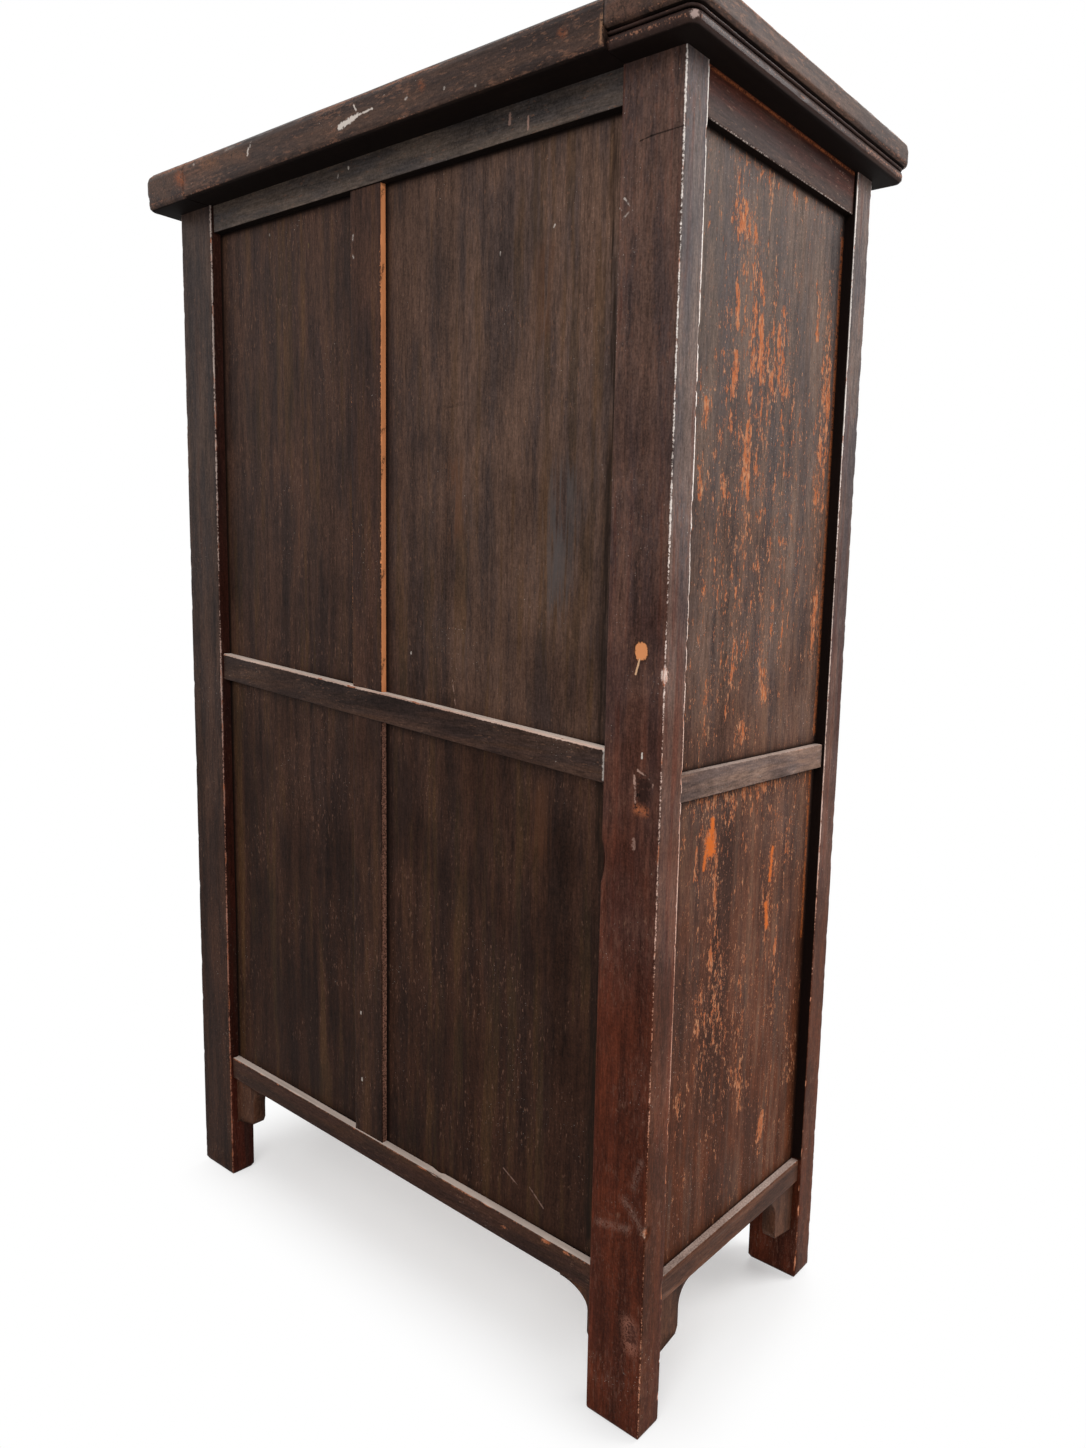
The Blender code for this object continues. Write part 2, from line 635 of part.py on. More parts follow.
def make_lock_stile(side_name, side, axis):
    groove_x = LOCK_OUTER - GROOVE_DEPTH
    near, far = around(DOOR_PANEL_Y, GROOVE_HALF)
    outline = [(LOCK_INNER, DOOR_FRONT), (LOCK_OUTER, DOOR_FRONT), (LOCK_OUTER, near), (groove_x, near),
               (groove_x, far), (LOCK_OUTER, far), (LOCK_OUTER, DOOR_BACK), (LOCK_INNER, DOOR_BACK)]
    section = [(side * x, y) for x, y in outline]
    prism(f"{side_name}_door_lock_stile", section, "Z", (DOOR_LOW, DOOR_HIGH), RED_LACQUER, axis)


def make_door_rail(side_name, side, axis, level, edges, low_groove, high_groove):
    """Rail between the stiles; its tenons fill the panel groove and go deeper into mortises."""
    section = grooved_section((DOOR_BACK, DOOR_FRONT), edges, DOOR_PANEL_Y, low_groove, high_groove)
    limits = (side * (LOCK_OUTER + GAP), side * (HINGE_INNER - GAP))
    rail = prism(f"{side_name}_door_{level}_rail", section, "X", limits, RED_LACQUER, axis)
    ys = around(DOOR_PANEL_Y, TENON_THICKNESS / 2)
    zs = (edges[0] + TENON_SHOULDER, edges[1] - TENON_SHOULDER)
    tenons = []
    for stile, shoulder, outward in (("lock", LOCK_OUTER, -1), ("hinge", HINGE_INNER, 1)):
        tip = shoulder + outward * TENON_LENGTH
        tenons.append(box((shoulder - outward * TENON_OVERLAP, tip), ys, zs, side))
        below_groove = shoulder + outward * (GROOVE_DEPTH - GAP)
        mortise_in(f"{side_name}_door_{stile}_stile", box((below_groove, tip), ys, zs, side))
    add_boxes(rail, tenons)


def make_door(side_name, side):
    axis = make_axis(f"{side_name}_door_axis", (side * PIVOT_X, PIVOT_Y, 0.0))
    make_hinge_stile(side_name, side, axis)
    make_sockets(side)
    make_lock_stile(side_name, side, axis)
    bottom = (DOOR_LOW, DOOR_LOW + DOOR_BOTTOM_RAIL_HEIGHT)
    top = (DOOR_HIGH - DOOR_TOP_RAIL_HEIGHT, DOOR_HIGH)
    make_door_rail(side_name, side, axis, "top", top, True, False)
    make_door_rail(side_name, side, axis, "bottom", bottom, False, True)
    panel = box((LOCK_OUTER - PANEL_REACH, HINGE_INNER + PANEL_REACH), around(DOOR_PANEL_Y, PANEL_HALF),
                (bottom[1] - PANEL_REACH, top[0] + PANEL_REACH), side)
    loft(f"{side_name}_door_panel", box_rings(panel), RED_LACQUER, axis)
    make_door_plate(side_name, side, axis)
    make_staple(side_name, side, axis)
    make_pull(side_name, side)


# Centre stile: stands in a shallow lower mortise and lifts into a deep upper one
def make_centre_stile():
    foot = FRONT_BOTTOM[1] + GAP
    head = FRONT_TOP[0] - CENTRE_LIFT - PANEL_END_PLAY
    body = box(around(0.0, CENTRE_WIDTH / 2), (DOOR_FRONT, DOOR_BACK), (foot, head))
    stile = loft("centre_stile", box_rings(body), RED_LACQUER)
    xs = around(0.0, CENTRE_TONGUE[0] / 2)
    ys = around(PIVOT_Y, CENTRE_TONGUE[1] / 2)
    lower = box(xs, ys, (foot - CENTRE_FOOT_TONGUE, foot + TENON_OVERLAP))
    upper = box(xs, ys, (head - TENON_OVERLAP, head + CENTRE_HEAD_TONGUE))
    raised = box(xs, ys, (FRONT_TOP[0], head + CENTRE_HEAD_TONGUE + CENTRE_LIFT))
    add_boxes(stile, [lower, upper])
    mortise_in("front_bottom_rail", lower)
    mortise_in("front_top_rail", raised)


# Brass: face plates with lock loops, staples and drop pulls
def plate_angle(x):
    return math.degrees(math.acos(x / PLATE_RADIUS))


def add_lock_loop(plate, x):
    eye = (PLATE_FRONT - LOOP_RADIUS, LOCK_HEIGHT)
    root = PLATE_FRONT + PLATE_THICKNESS / 2
    section = [(root, LOCK_HEIGHT + LOOP_RADIUS)] + arc(eye, LOOP_RADIUS, 90, 270, LOOP_STEPS)
    section.append((root, LOCK_HEIGHT - LOOP_RADIUS))
    combine(plate, prism(f"{plate.name}_loop", section, "X", around(x, LOOP_THICKNESS / 2)), "UNION")
    hole = circle(eye, LOOP_HOLE_RADIUS, LOOP_STEPS)
    combine(plate, prism(f"{plate.name}_hole", hole, "X", around(x, LOOP_THICKNESS)), "DIFFERENCE")


def make_door_plate(side_name, side, axis):
    chord = LOCK_INNER + PLATE_INSET
    angle = plate_angle(chord)
    outline = arc((0.0, LOCK_HEIGHT), PLATE_RADIUS, -angle, angle, PLATE_ARC_STEPS)
    section = [(side * x, z) for x, z in outline]
    plate = prism(f"{side_name}_face_plate", section, "Y", (PLATE_FRONT, PLATE_BACK), BRASS, axis)
    add_lock_loop(plate, side * (chord + PLATE_INSET + LOOP_THICKNESS / 2))


def make_centre_plate():
    angle = plate_angle(CENTRE_WIDTH / 2 - PLATE_INSET)
    outline = arc((0.0, LOCK_HEIGHT), PLATE_RADIUS, angle, 180 - angle, 6)
    outline += arc((0.0, LOCK_HEIGHT), PLATE_RADIUS, 180 + angle, 360 - angle, 6)
    plate = prism("centre_face_plate", outline, "Y", (PLATE_FRONT, PLATE_BACK), BRASS)
    add_lock_loop(plate, 0.0)


def make_staple(side_name, side, axis):
    """Bent wire that goes through the plate into the lock stile."""
    depth = DOOR_FRONT + STAPLE_DEPTH - PULL_Y
    wire = bpy.data.curves.new(f"{side_name}_pull_staple", "CURVE")
    wire.dimensions = "3D"
    wire.bevel_depth = STAPLE_WIRE_RADIUS
    wire.bevel_resolution = 1
    wire.use_fill_caps = True
    wire.materials.append(BRASS)
    path = wire.splines.new("POLY")
    route = [(-STAPLE_HALF_WIDTH, depth), (-STAPLE_HALF_WIDTH, 0.0), (STAPLE_HALF_WIDTH, 0.0),
             (STAPLE_HALF_WIDTH, depth)]
    path.points.add(len(route) - 1)
    for point, (x, y) in zip(path.points, route):
        point.co = (x, y, 0.0, 1.0)
    place_piece(wire.name, wire, Vector((side * STAPLE_X, PULL_Y, PULL_Z)), axis)
    for leg_x in around(side * STAPLE_X, STAPLE_HALF_WIDTH):
        xs = around(leg_x, STAPLE_HOLE_HALF)
        zs = around(PULL_Z, STAPLE_HOLE_HALF)
        cut_later(f"{side_name}_face_plate", box(xs, (PLATE_FRONT - GAP, PLATE_BACK + GAP), zs))
        stile_ys = (DOOR_FRONT - GAP, DOOR_FRONT + STAPLE_DEPTH + GAP)
        cut_later(f"{side_name}_door_lock_stile", box(xs, stile_ys, zs))


def make_pull(side_name, side):
    """Leaf-shaped drop with a rolled eye round the staple's bar."""
    x = side * STAPLE_X
    axis = make_axis(f"{side_name}_pull_axis", (x, PULL_Y, PULL_Z))
    start = (EYE_RADIUS + EYE_HOLE_RADIUS) / 2
    half_outline = []
    for step in range(PULL_STEPS + 1):
        part = step / PULL_STEPS
        width = PULL_NECK * (1 - part) + PULL_BELLY * math.sin(math.pi * part ** 1.3)
        half_outline.append((max(width, PULL_TIP), PULL_Z - start - (PULL_LENGTH - start) * part))
    outline = [(x + w, z) for w, z in half_outline] + [(x - w, z) for w, z in reversed(half_outline)]
    pull = prism(f"{side_name}_pull", outline, "Y", around(PULL_Y, PULL_THICKNESS / 2), BRASS, axis)
    eye = circle((PULL_Y, PULL_Z), EYE_RADIUS, EYE_STEPS)
    combine(pull, prism(f"{side_name}_eye", eye, "X", around(x, EYE_WIDTH / 2)), "UNION")
    hole = circle((PULL_Y, PULL_Z), EYE_HOLE_RADIUS, EYE_STEPS)
    combine(pull, prism(f"{side_name}_eye_hole", hole, "X", around(x, EYE_WIDTH)), "DIFFERENCE")


make_back()
make_front()
make_boards()
make_brackets()
make_top()
make_centre_stile()
make_centre_plate()
for side_word, side_sign in SIDES.items():
    make_side(side_word, side_sign)
    make_post("front", side_word)
    make_post("back", side_word)
    make_door(side_word, side_sign)
cut_all()
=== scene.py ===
# %% [markdown]
# # A lacquered wedding cabinet, seen from behind
# The cabinet is a frame of four posts with rails and thin panels between them, under a heavy moulded top.
# The measured solids come in as a fixed frame. This lesson builds the worn, lacquered surfaces around them:
# every board is made again with rounded, chipped arrises, and every finish is painted with nodes.

import math
from itertools import product

import bpy
import numpy as np
from mathutils import Matrix, Vector


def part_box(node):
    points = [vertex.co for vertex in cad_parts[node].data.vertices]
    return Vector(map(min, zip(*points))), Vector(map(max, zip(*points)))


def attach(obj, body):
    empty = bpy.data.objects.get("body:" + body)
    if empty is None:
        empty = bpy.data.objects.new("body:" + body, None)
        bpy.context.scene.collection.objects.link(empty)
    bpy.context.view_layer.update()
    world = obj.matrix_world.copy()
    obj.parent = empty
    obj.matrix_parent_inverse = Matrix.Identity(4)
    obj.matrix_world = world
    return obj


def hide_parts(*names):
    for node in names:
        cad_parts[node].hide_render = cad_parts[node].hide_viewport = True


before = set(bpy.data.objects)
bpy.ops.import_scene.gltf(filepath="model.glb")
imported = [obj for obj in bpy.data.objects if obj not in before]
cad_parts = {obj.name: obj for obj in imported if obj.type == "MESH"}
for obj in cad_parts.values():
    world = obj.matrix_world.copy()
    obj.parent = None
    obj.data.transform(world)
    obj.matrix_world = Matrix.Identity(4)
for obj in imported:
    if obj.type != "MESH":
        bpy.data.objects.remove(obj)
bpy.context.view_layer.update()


def add_object(name, data):
    added = bpy.data.objects.new(name, data)
    bpy.context.scene.collection.objects.link(added)
    return added


# %% [markdown]
# ## Camera
# The picture was taken with a wide lens, close to one back corner and a little above the middle, so the near
# post looks much taller than the far ones. The lens, the place and the three angles come from lines in the
# picture whose real places are known. They agree best if the lens axis lies 120 pixels right of the picture's
# middle. So the picture is taken to have been trimmed on one side, and the camera gets a small shift. The
# sensor is measured along the picture's long side.

# %% Photo camera
PHOTO_SIZE = (1086, 1448)
FOCAL_PIXELS = 1032.15
CENTRE_SHIFT = 120
SENSOR_HEIGHT = 36.0
EYE = Vector((-1.2770, 1.2385, 1.1551))
YAW, PITCH, ROLL = (math.radians(angle) for angle in (36.441, -7.914, 2.051))

forward = Vector((math.sin(YAW) * math.cos(PITCH), -math.cos(YAW) * math.cos(PITCH), math.sin(PITCH)))
level_right = forward.cross(Vector((0, 0, 1))).normalized()
level_up = level_right.cross(forward)
right = math.cos(ROLL) * level_right + math.sin(ROLL) * level_up
up = math.cos(ROLL) * level_up - math.sin(ROLL) * level_right

camera_data = bpy.data.cameras.new("photo_camera")
camera_data.sensor_fit = "VERTICAL"
camera_data.sensor_height = SENSOR_HEIGHT
camera_data.lens = FOCAL_PIXELS / PHOTO_SIZE[1] * SENSOR_HEIGHT
camera_data.shift_x = -CENTRE_SHIFT / PHOTO_SIZE[1]
camera = add_object("photo_camera", camera_data)
camera.matrix_world = Matrix.Translation(EYE) @ Matrix((right, up, -forward)).transposed().to_4x4()
bpy.context.scene.camera = camera
print("lens", round(camera_data.lens, 2), "mm at", tuple(round(v, 3) for v in EYE))

# %% [markdown]
# ## Writing shaders as sums
# A node tree is easier to read as an expression. Wire holds one socket: a sum or product of wires adds a Math
# node, and the method node adds any other kind, with its settings first and its sockets after. The helpers
# below give names to the nodes that every finish uses, and start a new material.

# %% Wires between nodes
class Wire:
    """One socket of a node tree. Arithmetic on it adds Math nodes."""

    def __init__(self, tree, socket=None):
        self.tree = tree
        self.socket = socket

    def node(self, kind, settings=None, inputs=None, out=0):
        made = self.tree.nodes.new(kind)
        for name, value in (settings or {}).items():
            setattr(made, name, value)
        for key, value in (inputs or {}).items():
            if isinstance(value, Wire):
                self.tree.links.new(value.socket, made.inputs[key])
            else:
                made.inputs[key].default_value = value
        return Wire(self.tree, made.outputs[out] if len(made.outputs) else None)

    def sum(self, operation, first, second):
        return self.node("ShaderNodeMath", {"operation": operation}, {0: first, 1: second})

    def vector(self, operation, *operands, out=0):
        return self.node("ShaderNodeVectorMath", {"operation": operation}, dict(enumerate(operands)), out)

    def __add__(self, other):
        return self.sum("ADD", self, other)

    __radd__ = __add__

    def __sub__(self, other):
        return self.sum("SUBTRACT", self, other)

    def __rsub__(self, other):
        return self.sum("SUBTRACT", other, self)

    def __mul__(self, other):
        return self.sum("MULTIPLY", self, other)

    __rmul__ = __mul__


def smooth(value, low, high):
    """0 below low and 1 above high, or the other way round where low is the larger."""
    return value.node("ShaderNodeMapRange", {"interpolation_type": "SMOOTHSTEP"}, {0: value, 1: low, 2: high})


def mixed(factor, first, second, way="MIX"):
    wire = next(part for part in (factor, first, second) if isinstance(part, Wire))
    return wire.node("ShaderNodeMix", {"data_type": "RGBA", "blend_type": way},
                     {0: factor, 6: first, 7: second}, out=2)


def dimmed(colour, factor):
    return mixed(1.0, colour, factor, "MULTIPLY")


def stretched(place, scale):
    return place.vector("MULTIPLY", place, scale)


def blotches(place, scale, detail=3.0, roughness=0.55):
    return place.node("ShaderNodeTexNoise", None,
                      {"Vector": place, "Scale": scale, "Detail": detail, "Roughness": roughness})


def new_finish(name):
    """An empty material, a wire to build it from, and the place on the object."""
    material = bpy.data.materials.new(name)
    material.use_nodes = True
    material.node_tree.nodes.clear()
    start = Wire(material.node_tree)
    return material, start, start.node("ShaderNodeTexCoord", out="Object")


def srgb(*levels):
    """A colour from levels of 0 to 255, as a picture editor shows them."""
    values = [level / 255 for level in levels]
    return (*[v / 12.92 if v <= 0.04045 else ((v + 0.055) / 1.055) ** 2.4 for v in values], 1.0)


print("shader helpers ready")

# %% [markdown]
# ## Floor and light
# The cabinet stands on a pale floor that runs into a white surround. The camera and the gloss of the wood see
# the surround as white; as a light on the wood it is a weaker grey, so that dark lacquer stays dark. Three
# large soft lamps do the rest. The strongest stands off the cabinet's left side, where the picture is
# brightest. Its reflection adds a little to the grey sheen on the upper half of that side, which is mostly a
# painted sheen in the lacquer. The floor keeps the cabinet's shadow in a core under it and fades to white
# round that core, so that no horizon shows. Off the cabinet's left side its lift is weaker: painted shade.

# %% White surround
AMBIENT = 0.46
world = bpy.data.worlds.new("white_surround")
world.use_nodes = True
world.node_tree.nodes.clear()
sky = Wire(world.node_tree)
seen = sky.node("ShaderNodeLightPath", out="Is Camera Ray")
for ray_kind in ("Is Glossy Ray", "Is Transmission Ray"):
    seen = seen.sum("MAXIMUM", seen, seen.node("ShaderNodeLightPath", out=ray_kind))
surround = sky.node("ShaderNodeBackground", None,
                    {"Color": (1, 1, 1, 1), "Strength": AMBIENT + seen * (1 - AMBIENT)})
sky.node("ShaderNodeOutputWorld", None, {"Surface": surround})
bpy.context.scene.world = world
bpy.context.scene.view_settings.view_transform = "Standard"
print("surround for diffuse light", AMBIENT)

# %% Pale floor
FLOOR_HALF = 14.0
FLOOR_LEAST, FLOOR_LIFT = 0.15, 0.44
LIFT_FROM, LIFT_FULL = -0.62, -0.2
SHADOW_CORE = (0.46, 0.14, 0.0)
SHADOW_FADE = 0.19
floor_finish, ground, ground_place = new_finish("pale_floor")
beyond = ground.vector("ABSOLUTE", stretched(ground_place, (1.0, 1.0, 0.0)))
beyond = ground.vector("SUBTRACT", beyond, SHADOW_CORE)
beyond = ground.vector("MAXIMUM", beyond, (0.0, 0.0, 0.0))
beyond = ground.vector("LENGTH", beyond, out="Value")
across_floor = ground.node("ShaderNodeSeparateXYZ", None, {0: ground_place}, out="X")
to_camera = ground.node("ShaderNodeLightPath", out="Is Camera Ray")
ground_tone = mixed(blotches(ground_place, 9.0), srgb(222, 221, 220), srgb(226, 226, 226))
matt = ground.node("ShaderNodeBsdfDiffuse", None, {"Color": ground_tone})
# The lift is weaker off the cabinet's left side: painted shade on the floor there.
raised = FLOOR_LEAST + smooth(across_floor, LIFT_FROM, LIFT_FULL) * (FLOOR_LIFT - FLOOR_LEAST)
lift = ground.node("ShaderNodeEmission", None, {"Color": to_camera * raised, "Strength": 1.0})
near_floor = ground.node("ShaderNodeAddShader", None, {0: matt, 1: lift})
far_floor = ground.node("ShaderNodeEmission", None, {"Strength": 1.0})
fade_out = smooth(beyond, 0.0, SHADOW_FADE) * to_camera
floor_shader = ground.node("ShaderNodeMixShader", None, {0: fade_out, 1: near_floor, 2: far_floor})
ground.node("ShaderNodeOutputMaterial", None, {"Surface": floor_shader})
floor_mesh = bpy.data.meshes.new("pale_floor")
floor_corners = [(x * FLOOR_HALF, y * FLOOR_HALF, 0.0) for x, y in ((-1, -1), (1, -1), (1, 1), (-1, 1))]
floor_mesh.from_pydata(floor_corners, [], [(0, 1, 2, 3)])
floor_mesh.materials.append(floor_finish)
floor = add_object("pale_floor", floor_mesh)
print("floor", 2 * FLOOR_HALF, "m across")

# %% Soft lamps
# Place, target, width and power of each lamp
LAMPS = {
    "side_lamp": ((-2.8, -1.7, 2.9), (-0.5, 0.0, 1.0), 2.0, 100.0),
    "back_lamp": ((-1.9, 3.1, 3.4), (0.0, 0.2, 0.9), 2.2, 70.0),
    "front_lamp": ((1.2, -3.6, 2.8), (0.0, -0.2, 0.9), 2.6, 60.0),
}


def soft_lamp(name, place, target, size, watts):
    data = bpy.data.lights.new(name, "AREA")
    data.size = size
    data.energy = watts
    lamp = add_object(name, data)
    lamp.location = place
    lamp.rotation_euler = (Vector(target) - Vector(place)).to_track_quat("-Z", "Y").to_euler()


for lamp_name, lamp_facts in LAMPS.items():
    soft_lamp(lamp_name, *lamp_facts)
print(len(LAMPS), "soft lamps")

# %% [markdown]
# ## Worn boards
# Nearly every piece of this cabinet is a board with a softened arris. A bevelled cube would look new, so each
# board is swept: its section is walked round with close points near the arrises, and the section is drawn
# along the grain in small steps. That leaves enough points to bite chips out of the arrises and to let the
# faces wander a little, as hand-planed wood does. Each point also remembers how close it is to an arris, how
# bare it is rubbed, whether dust lies on it, and how much painted shade it takes in recesses and under
# things, so that the finish can follow the shape.

# %% A wandering field
HASH_STEPS = (73856093, 19349663, 83492791)
HASH_SEED, HASH_MIX = 668265263, 1274126177


def wander(points, size, seed):
    """Smooth values from 0 to 1; size is the width of one wave in metres, as a number or one per axis."""
    scaled = points / np.asarray(size, float)
    cell = np.floor(scaled).astype(np.int64)
    part = scaled - cell
    part = part * part * (3 - 2 * part)
    total = np.zeros(len(points))
    for corner in product((0, 1), repeat=3):
        mixed_bits = ((cell + corner) * HASH_STEPS).sum(axis=1) + seed * HASH_SEED
        mixed_bits = (mixed_bits ^ (mixed_bits >> 13)) * HASH_MIX & 0x7FFFFFFF
        value = ((mixed_bits ^ (mixed_bits >> 15)) & 0xFFFF) / 0xFFFF
        total += value * np.where(corner, part, 1 - part).prod(axis=1)
    return total


def ramp(values, low, high):
    """0 at low and 1 at high, straight between them; low may be the larger."""
    return np.clip((values - low) / (high - low), 0, 1)


trial = wander(np.random.default_rng(1).random((4000, 3)), 0.05, 3)
print("wander runs from", *np.round(np.percentile(trial, (0, 50, 100)), 2))

# %% Walking round a section
ARRIS_REACH = 0.005
ARC_STEPS = 4
ARC_END = 0.9
SIDE_MARGIN, SHORT_SIDE = 0.003, 0.004


def walk_section(corners, spacing):
    """Points, outward normals and arris closeness round a section of (a, b, arris radius, wear) corners."""
    flat = np.array([corner[:2] for corner in corners], float)
    nxt = np.roll(flat, -1, axis=0)
    if (flat[:, 0] * nxt[:, 1] - nxt[:, 0] * flat[:, 1]).sum() < 0:
        corners = corners[::-1]
        flat = flat[::-1]
    count = len(flat)
    ahead = np.roll(flat, -1, axis=0) - flat
    lengths = np.linalg.norm(ahead, axis=1)
    ahead /= lengths[:, None]
    outward = np.stack([ahead[:, 1], -ahead[:, 0]], axis=1)
    turns, starts, ends = [], [], []
    for i, (_, _, radius, wear) in enumerate(corners):
        before, after = outward[i - 1], outward[i]
        angle = math.atan2(before[0] * after[1] - before[1] * after[0], before @ after)
        cut = radius * math.tan(abs(angle) / 2)
        starts.append(flat[i] - ahead[i - 1] * cut)
        ends.append(flat[i] + ahead[i] * cut)
        centre = starts[-1] - before * math.copysign(radius, angle)
        steps = ARC_STEPS if radius else 0
        arc = []
        for k in range(steps + 1):
            turn = angle * (k / steps if steps else 0.5)
            normal = np.array([before[0] * math.cos(turn) - before[1] * math.sin(turn),
                               before[0] * math.sin(turn) + before[1] * math.cos(turn)])
            close = wear * (1 - (1 - ARC_END) * abs(2 * k / steps - 1)) if steps else wear
            arc.append((centre + normal * math.copysign(radius, angle) if radius else flat[i], normal, close))
        turns.append(arc)
    walked = []
    for i in range(count):
        walked += turns[i]
        j = (i + 1) % count
        length = np.linalg.norm(starts[j] - ends[i])
        if length <= SHORT_SIDE:
            continue
        margin = min(SIDE_MARGIN, length / 4)
        pieces = max(1, round((length - 2 * margin) / spacing))
        for stop in np.linspace(margin, length - margin, pieces + 1):
            close = max(corners[i][3] * (1 - stop / ARRIS_REACH),
                        corners[j][3] * (1 - (length - stop) / ARRIS_REACH), 0.0)
            walked.append((ends[i] + ahead[i] * stop, outward[i], ARC_END * close))
    points, normals, closeness = zip(*walked)
    return np.array(points), np.array(normals), np.array(closeness)


def board_section(firsts, seconds, radius, wear=1.0):
    """Corners of a rectangular section with the same arris all round."""
    (a0, a1), (b0, b1) = sorted(firsts), sorted(seconds)
    return [(a0, b0, radius, wear), (a1, b0, radius, wear), (a1, b1, radius, wear), (a0, b1, radius, wear)]


print("an 80 by 64 mm post is walked in",
      len(walk_section(board_section((0, 0.08), (0, 0.064), 0.004), 0.006)[0]), "points")

# %% Drawing a section along the grain
AXES = {"X": 0, "Y": 1, "Z": 2}
END_STEPS = (0.0, 0.35, 0.7, 1.0)
# Spacing and step of boards that are seen close, from a distance, and only from the front
FINE, MIDDLING, COARSE = (0.005, 0.004), (0.008, 0.006), (0.010, 0.007)
# One note is painted shade: in recesses, in grooves, along the frame of the panels and under things.
NOTES = ("edge", "bare", "dust", "grime", "flake", "faded", "sleek")


class Skin:
    """One closed skin: points, their outward normals, faces, and a value per point for each note."""

    def __init__(self, points, normals, faces, caps, edge):
        self.points = points
        self.normals = normals
        self.faces = faces
        self.caps = caps
        for note_name in NOTES:
            setattr(self, note_name, np.zeros(len(points)))
        self.edge = edge


def ring_faces(rings, count, flipped):
    """Quads between rings of equally many points, and the two end caps."""
    i, j = np.meshgrid(np.arange(rings - 1), np.arange(count), indexing="ij")
    k = (j + 1) % count
    quads = np.stack([i * count + j, i * count + k, (i + 1) * count + k, (i + 1) * count + j], axis=-1)
    quads = quads.reshape(-1, 4)
    caps = [list(range(count))[::-1], list(range((rings - 1) * count, rings * count))]
    if flipped:
        quads = quads[:, ::-1]
        caps = [cap[::-1] for cap in caps]
    return quads, caps


def draw_along(corners, axis, low, high, spacing=0.008, step=0.005, rounding=0.0012, rise=0.0, end_wear=0.7):
    """A section drawn along an axis from low to high, with ends eased by rounding; rise lifts it along X.

    Points lie about spacing apart round the section, and step apart along the axis.
    """
    ring, ring_normals, ring_edge = walk_section(corners, spacing)
    rounds = [rounding * t for t in END_STEPS]
    insets = [rounding * (1 - math.sqrt(1 - (1 - t) ** 2)) for t in END_STEPS]
    inner = np.linspace(low + rounding, high - rounding, max(2, round((high - low) / step)))[1:-1]
    stations = np.concatenate([[low + r for r in rounds], inner, [high - r for r in rounds[::-1]]])
    inset = np.concatenate([insets, np.zeros(len(inner)), insets[::-1]])
    flat = ring[None] - ring_normals[None] * inset[:, None, None]
    shape = flat.shape[:2]
    across = [n for n in range(3) if n != AXES[axis]]
    points, normals = np.zeros((*shape, 3)), np.zeros((*shape, 3))
    points[..., AXES[axis]] = stations[:, None]
    points[..., across] = flat
    normals[..., across] = ring_normals
    points = points.reshape(-1, 3)
    points[:, 2] += rise * points[:, 0]
    to_end = np.minimum(stations - low, high - stations)
    edge = np.maximum(ring_edge, end_wear * ramp(to_end, ARRIS_REACH, 0.0)[:, None]).reshape(-1)
    return Skin(points, normals.reshape(-1, 3), *ring_faces(*shape, flipped=axis == "Y"), edge)


print("skins ready")

# %% Wear, gouges, dust and painted shade
def wear_down(skin, seed, grain, depth=0.0016, length=0.022, share=0.5, sag=0.0004):
    """Bites chips out of the arrises and lets the faces wander, always inwards."""
    size = np.full(3, 0.006)
    size[AXES[grain]] = length
    rough = 0.68 * wander(skin.points, size, seed) + 0.32 * wander(skin.points, size * 0.4, seed + 1)
    bite = ramp(rough, 1 - share, 1.16 - share) * ramp(skin.edge, 0.6, 0.9)
    slack = sag * wander(skin.points, 0.13, seed + 2)
    skin.points -= skin.normals * (bite * depth + slack)[:, None]
    skin.bare = np.maximum(skin.bare, bite)
    return skin


def gouge(skin, marks):
    """Hollows of (centre, radii, depth, bareness)."""
    for centre, radii, depth, bareness in marks:
        fall = np.clip(1 - (((skin.points - centre) / radii) ** 2).sum(axis=1), 0, 1)
        skin.points -= skin.normals * (depth * fall * (2 - fall))[:, None]
        skin.bare = np.maximum(skin.bare, bareness * np.sqrt(fall))
    return skin


def dust_and_shade(skin, dust, grime):
    """Dust on faces that look up, and painted shade on faces that look down."""
    facing_up = skin.normals[:, 2]
    skin.dust = dust * ramp(facing_up, 0.75, 0.95)
    skin.grime = np.maximum(skin.grime, grime * ramp(-facing_up, 0.6, 0.9))
    return skin


def join_skins(name, skins):
    """One mesh from several closed skins, with the notes of each point as attributes."""
    mesh = bpy.data.meshes.new(name)
    faces, smooth_faces, start = [], [], 0
    for skin in skins:
        faces += (skin.faces + start).tolist() + [[start + v for v in cap] for cap in skin.caps]
        smooth_faces += [True] * len(skin.faces) + [False] * len(skin.caps)
        start += len(skin.points)
    mesh.from_pydata(np.concatenate([skin.points for skin in skins]).tolist(), [], faces)
    mesh.polygons.foreach_set("use_smooth", smooth_faces)
    for note_name in NOTES:
        values = np.concatenate([getattr(skin, note_name) for skin in skins]).astype(np.float32)
        mesh.attributes.new(note_name, "FLOAT", "POINT").data.foreach_set("value", values)
    return mesh


def apply_modifiers(piece):
    evaluated = piece.evaluated_get(bpy.context.evaluated_depsgraph_get())
    piece.data = bpy.data.meshes.new_from_object(evaluated)
    piece.modifiers.clear()


def cut_pockets(piece, pockets):
    """Cuts closed skins out of a piece, for the mortises and sockets that a moving part needs."""
    cutter = add_object("pockets", join_skins("pockets", pockets))
    modifier = piece.modifiers.new("pockets", "BOOLEAN")
    modifier.object = cutter
    modifier.solver = "EXACT"
    apply_modifiers(piece)
    bpy.data.objects.remove(cutter)


made = {}


def list_piece(piece, body):
    """Puts a piece on its body and notes its triangles."""
    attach(piece, body)
    made[piece.name] = sum(len(polygon.vertices) - 2 for polygon in piece.data.polygons)


def fit_piece(node, skins, finish, body="carcass", stuff="wood", pockets=None):
    """Puts a finished piece in the scene in place of its solid."""
    mesh = join_skins(f"{node}_{stuff}", skins)
    mesh.materials.append(finish)
    piece = add_object(f"{node}_{stuff}", mesh)
    if pockets:
        cut_pockets(piece, pockets)
    list_piece(piece, body)
    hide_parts(node)


print("board tools ready")
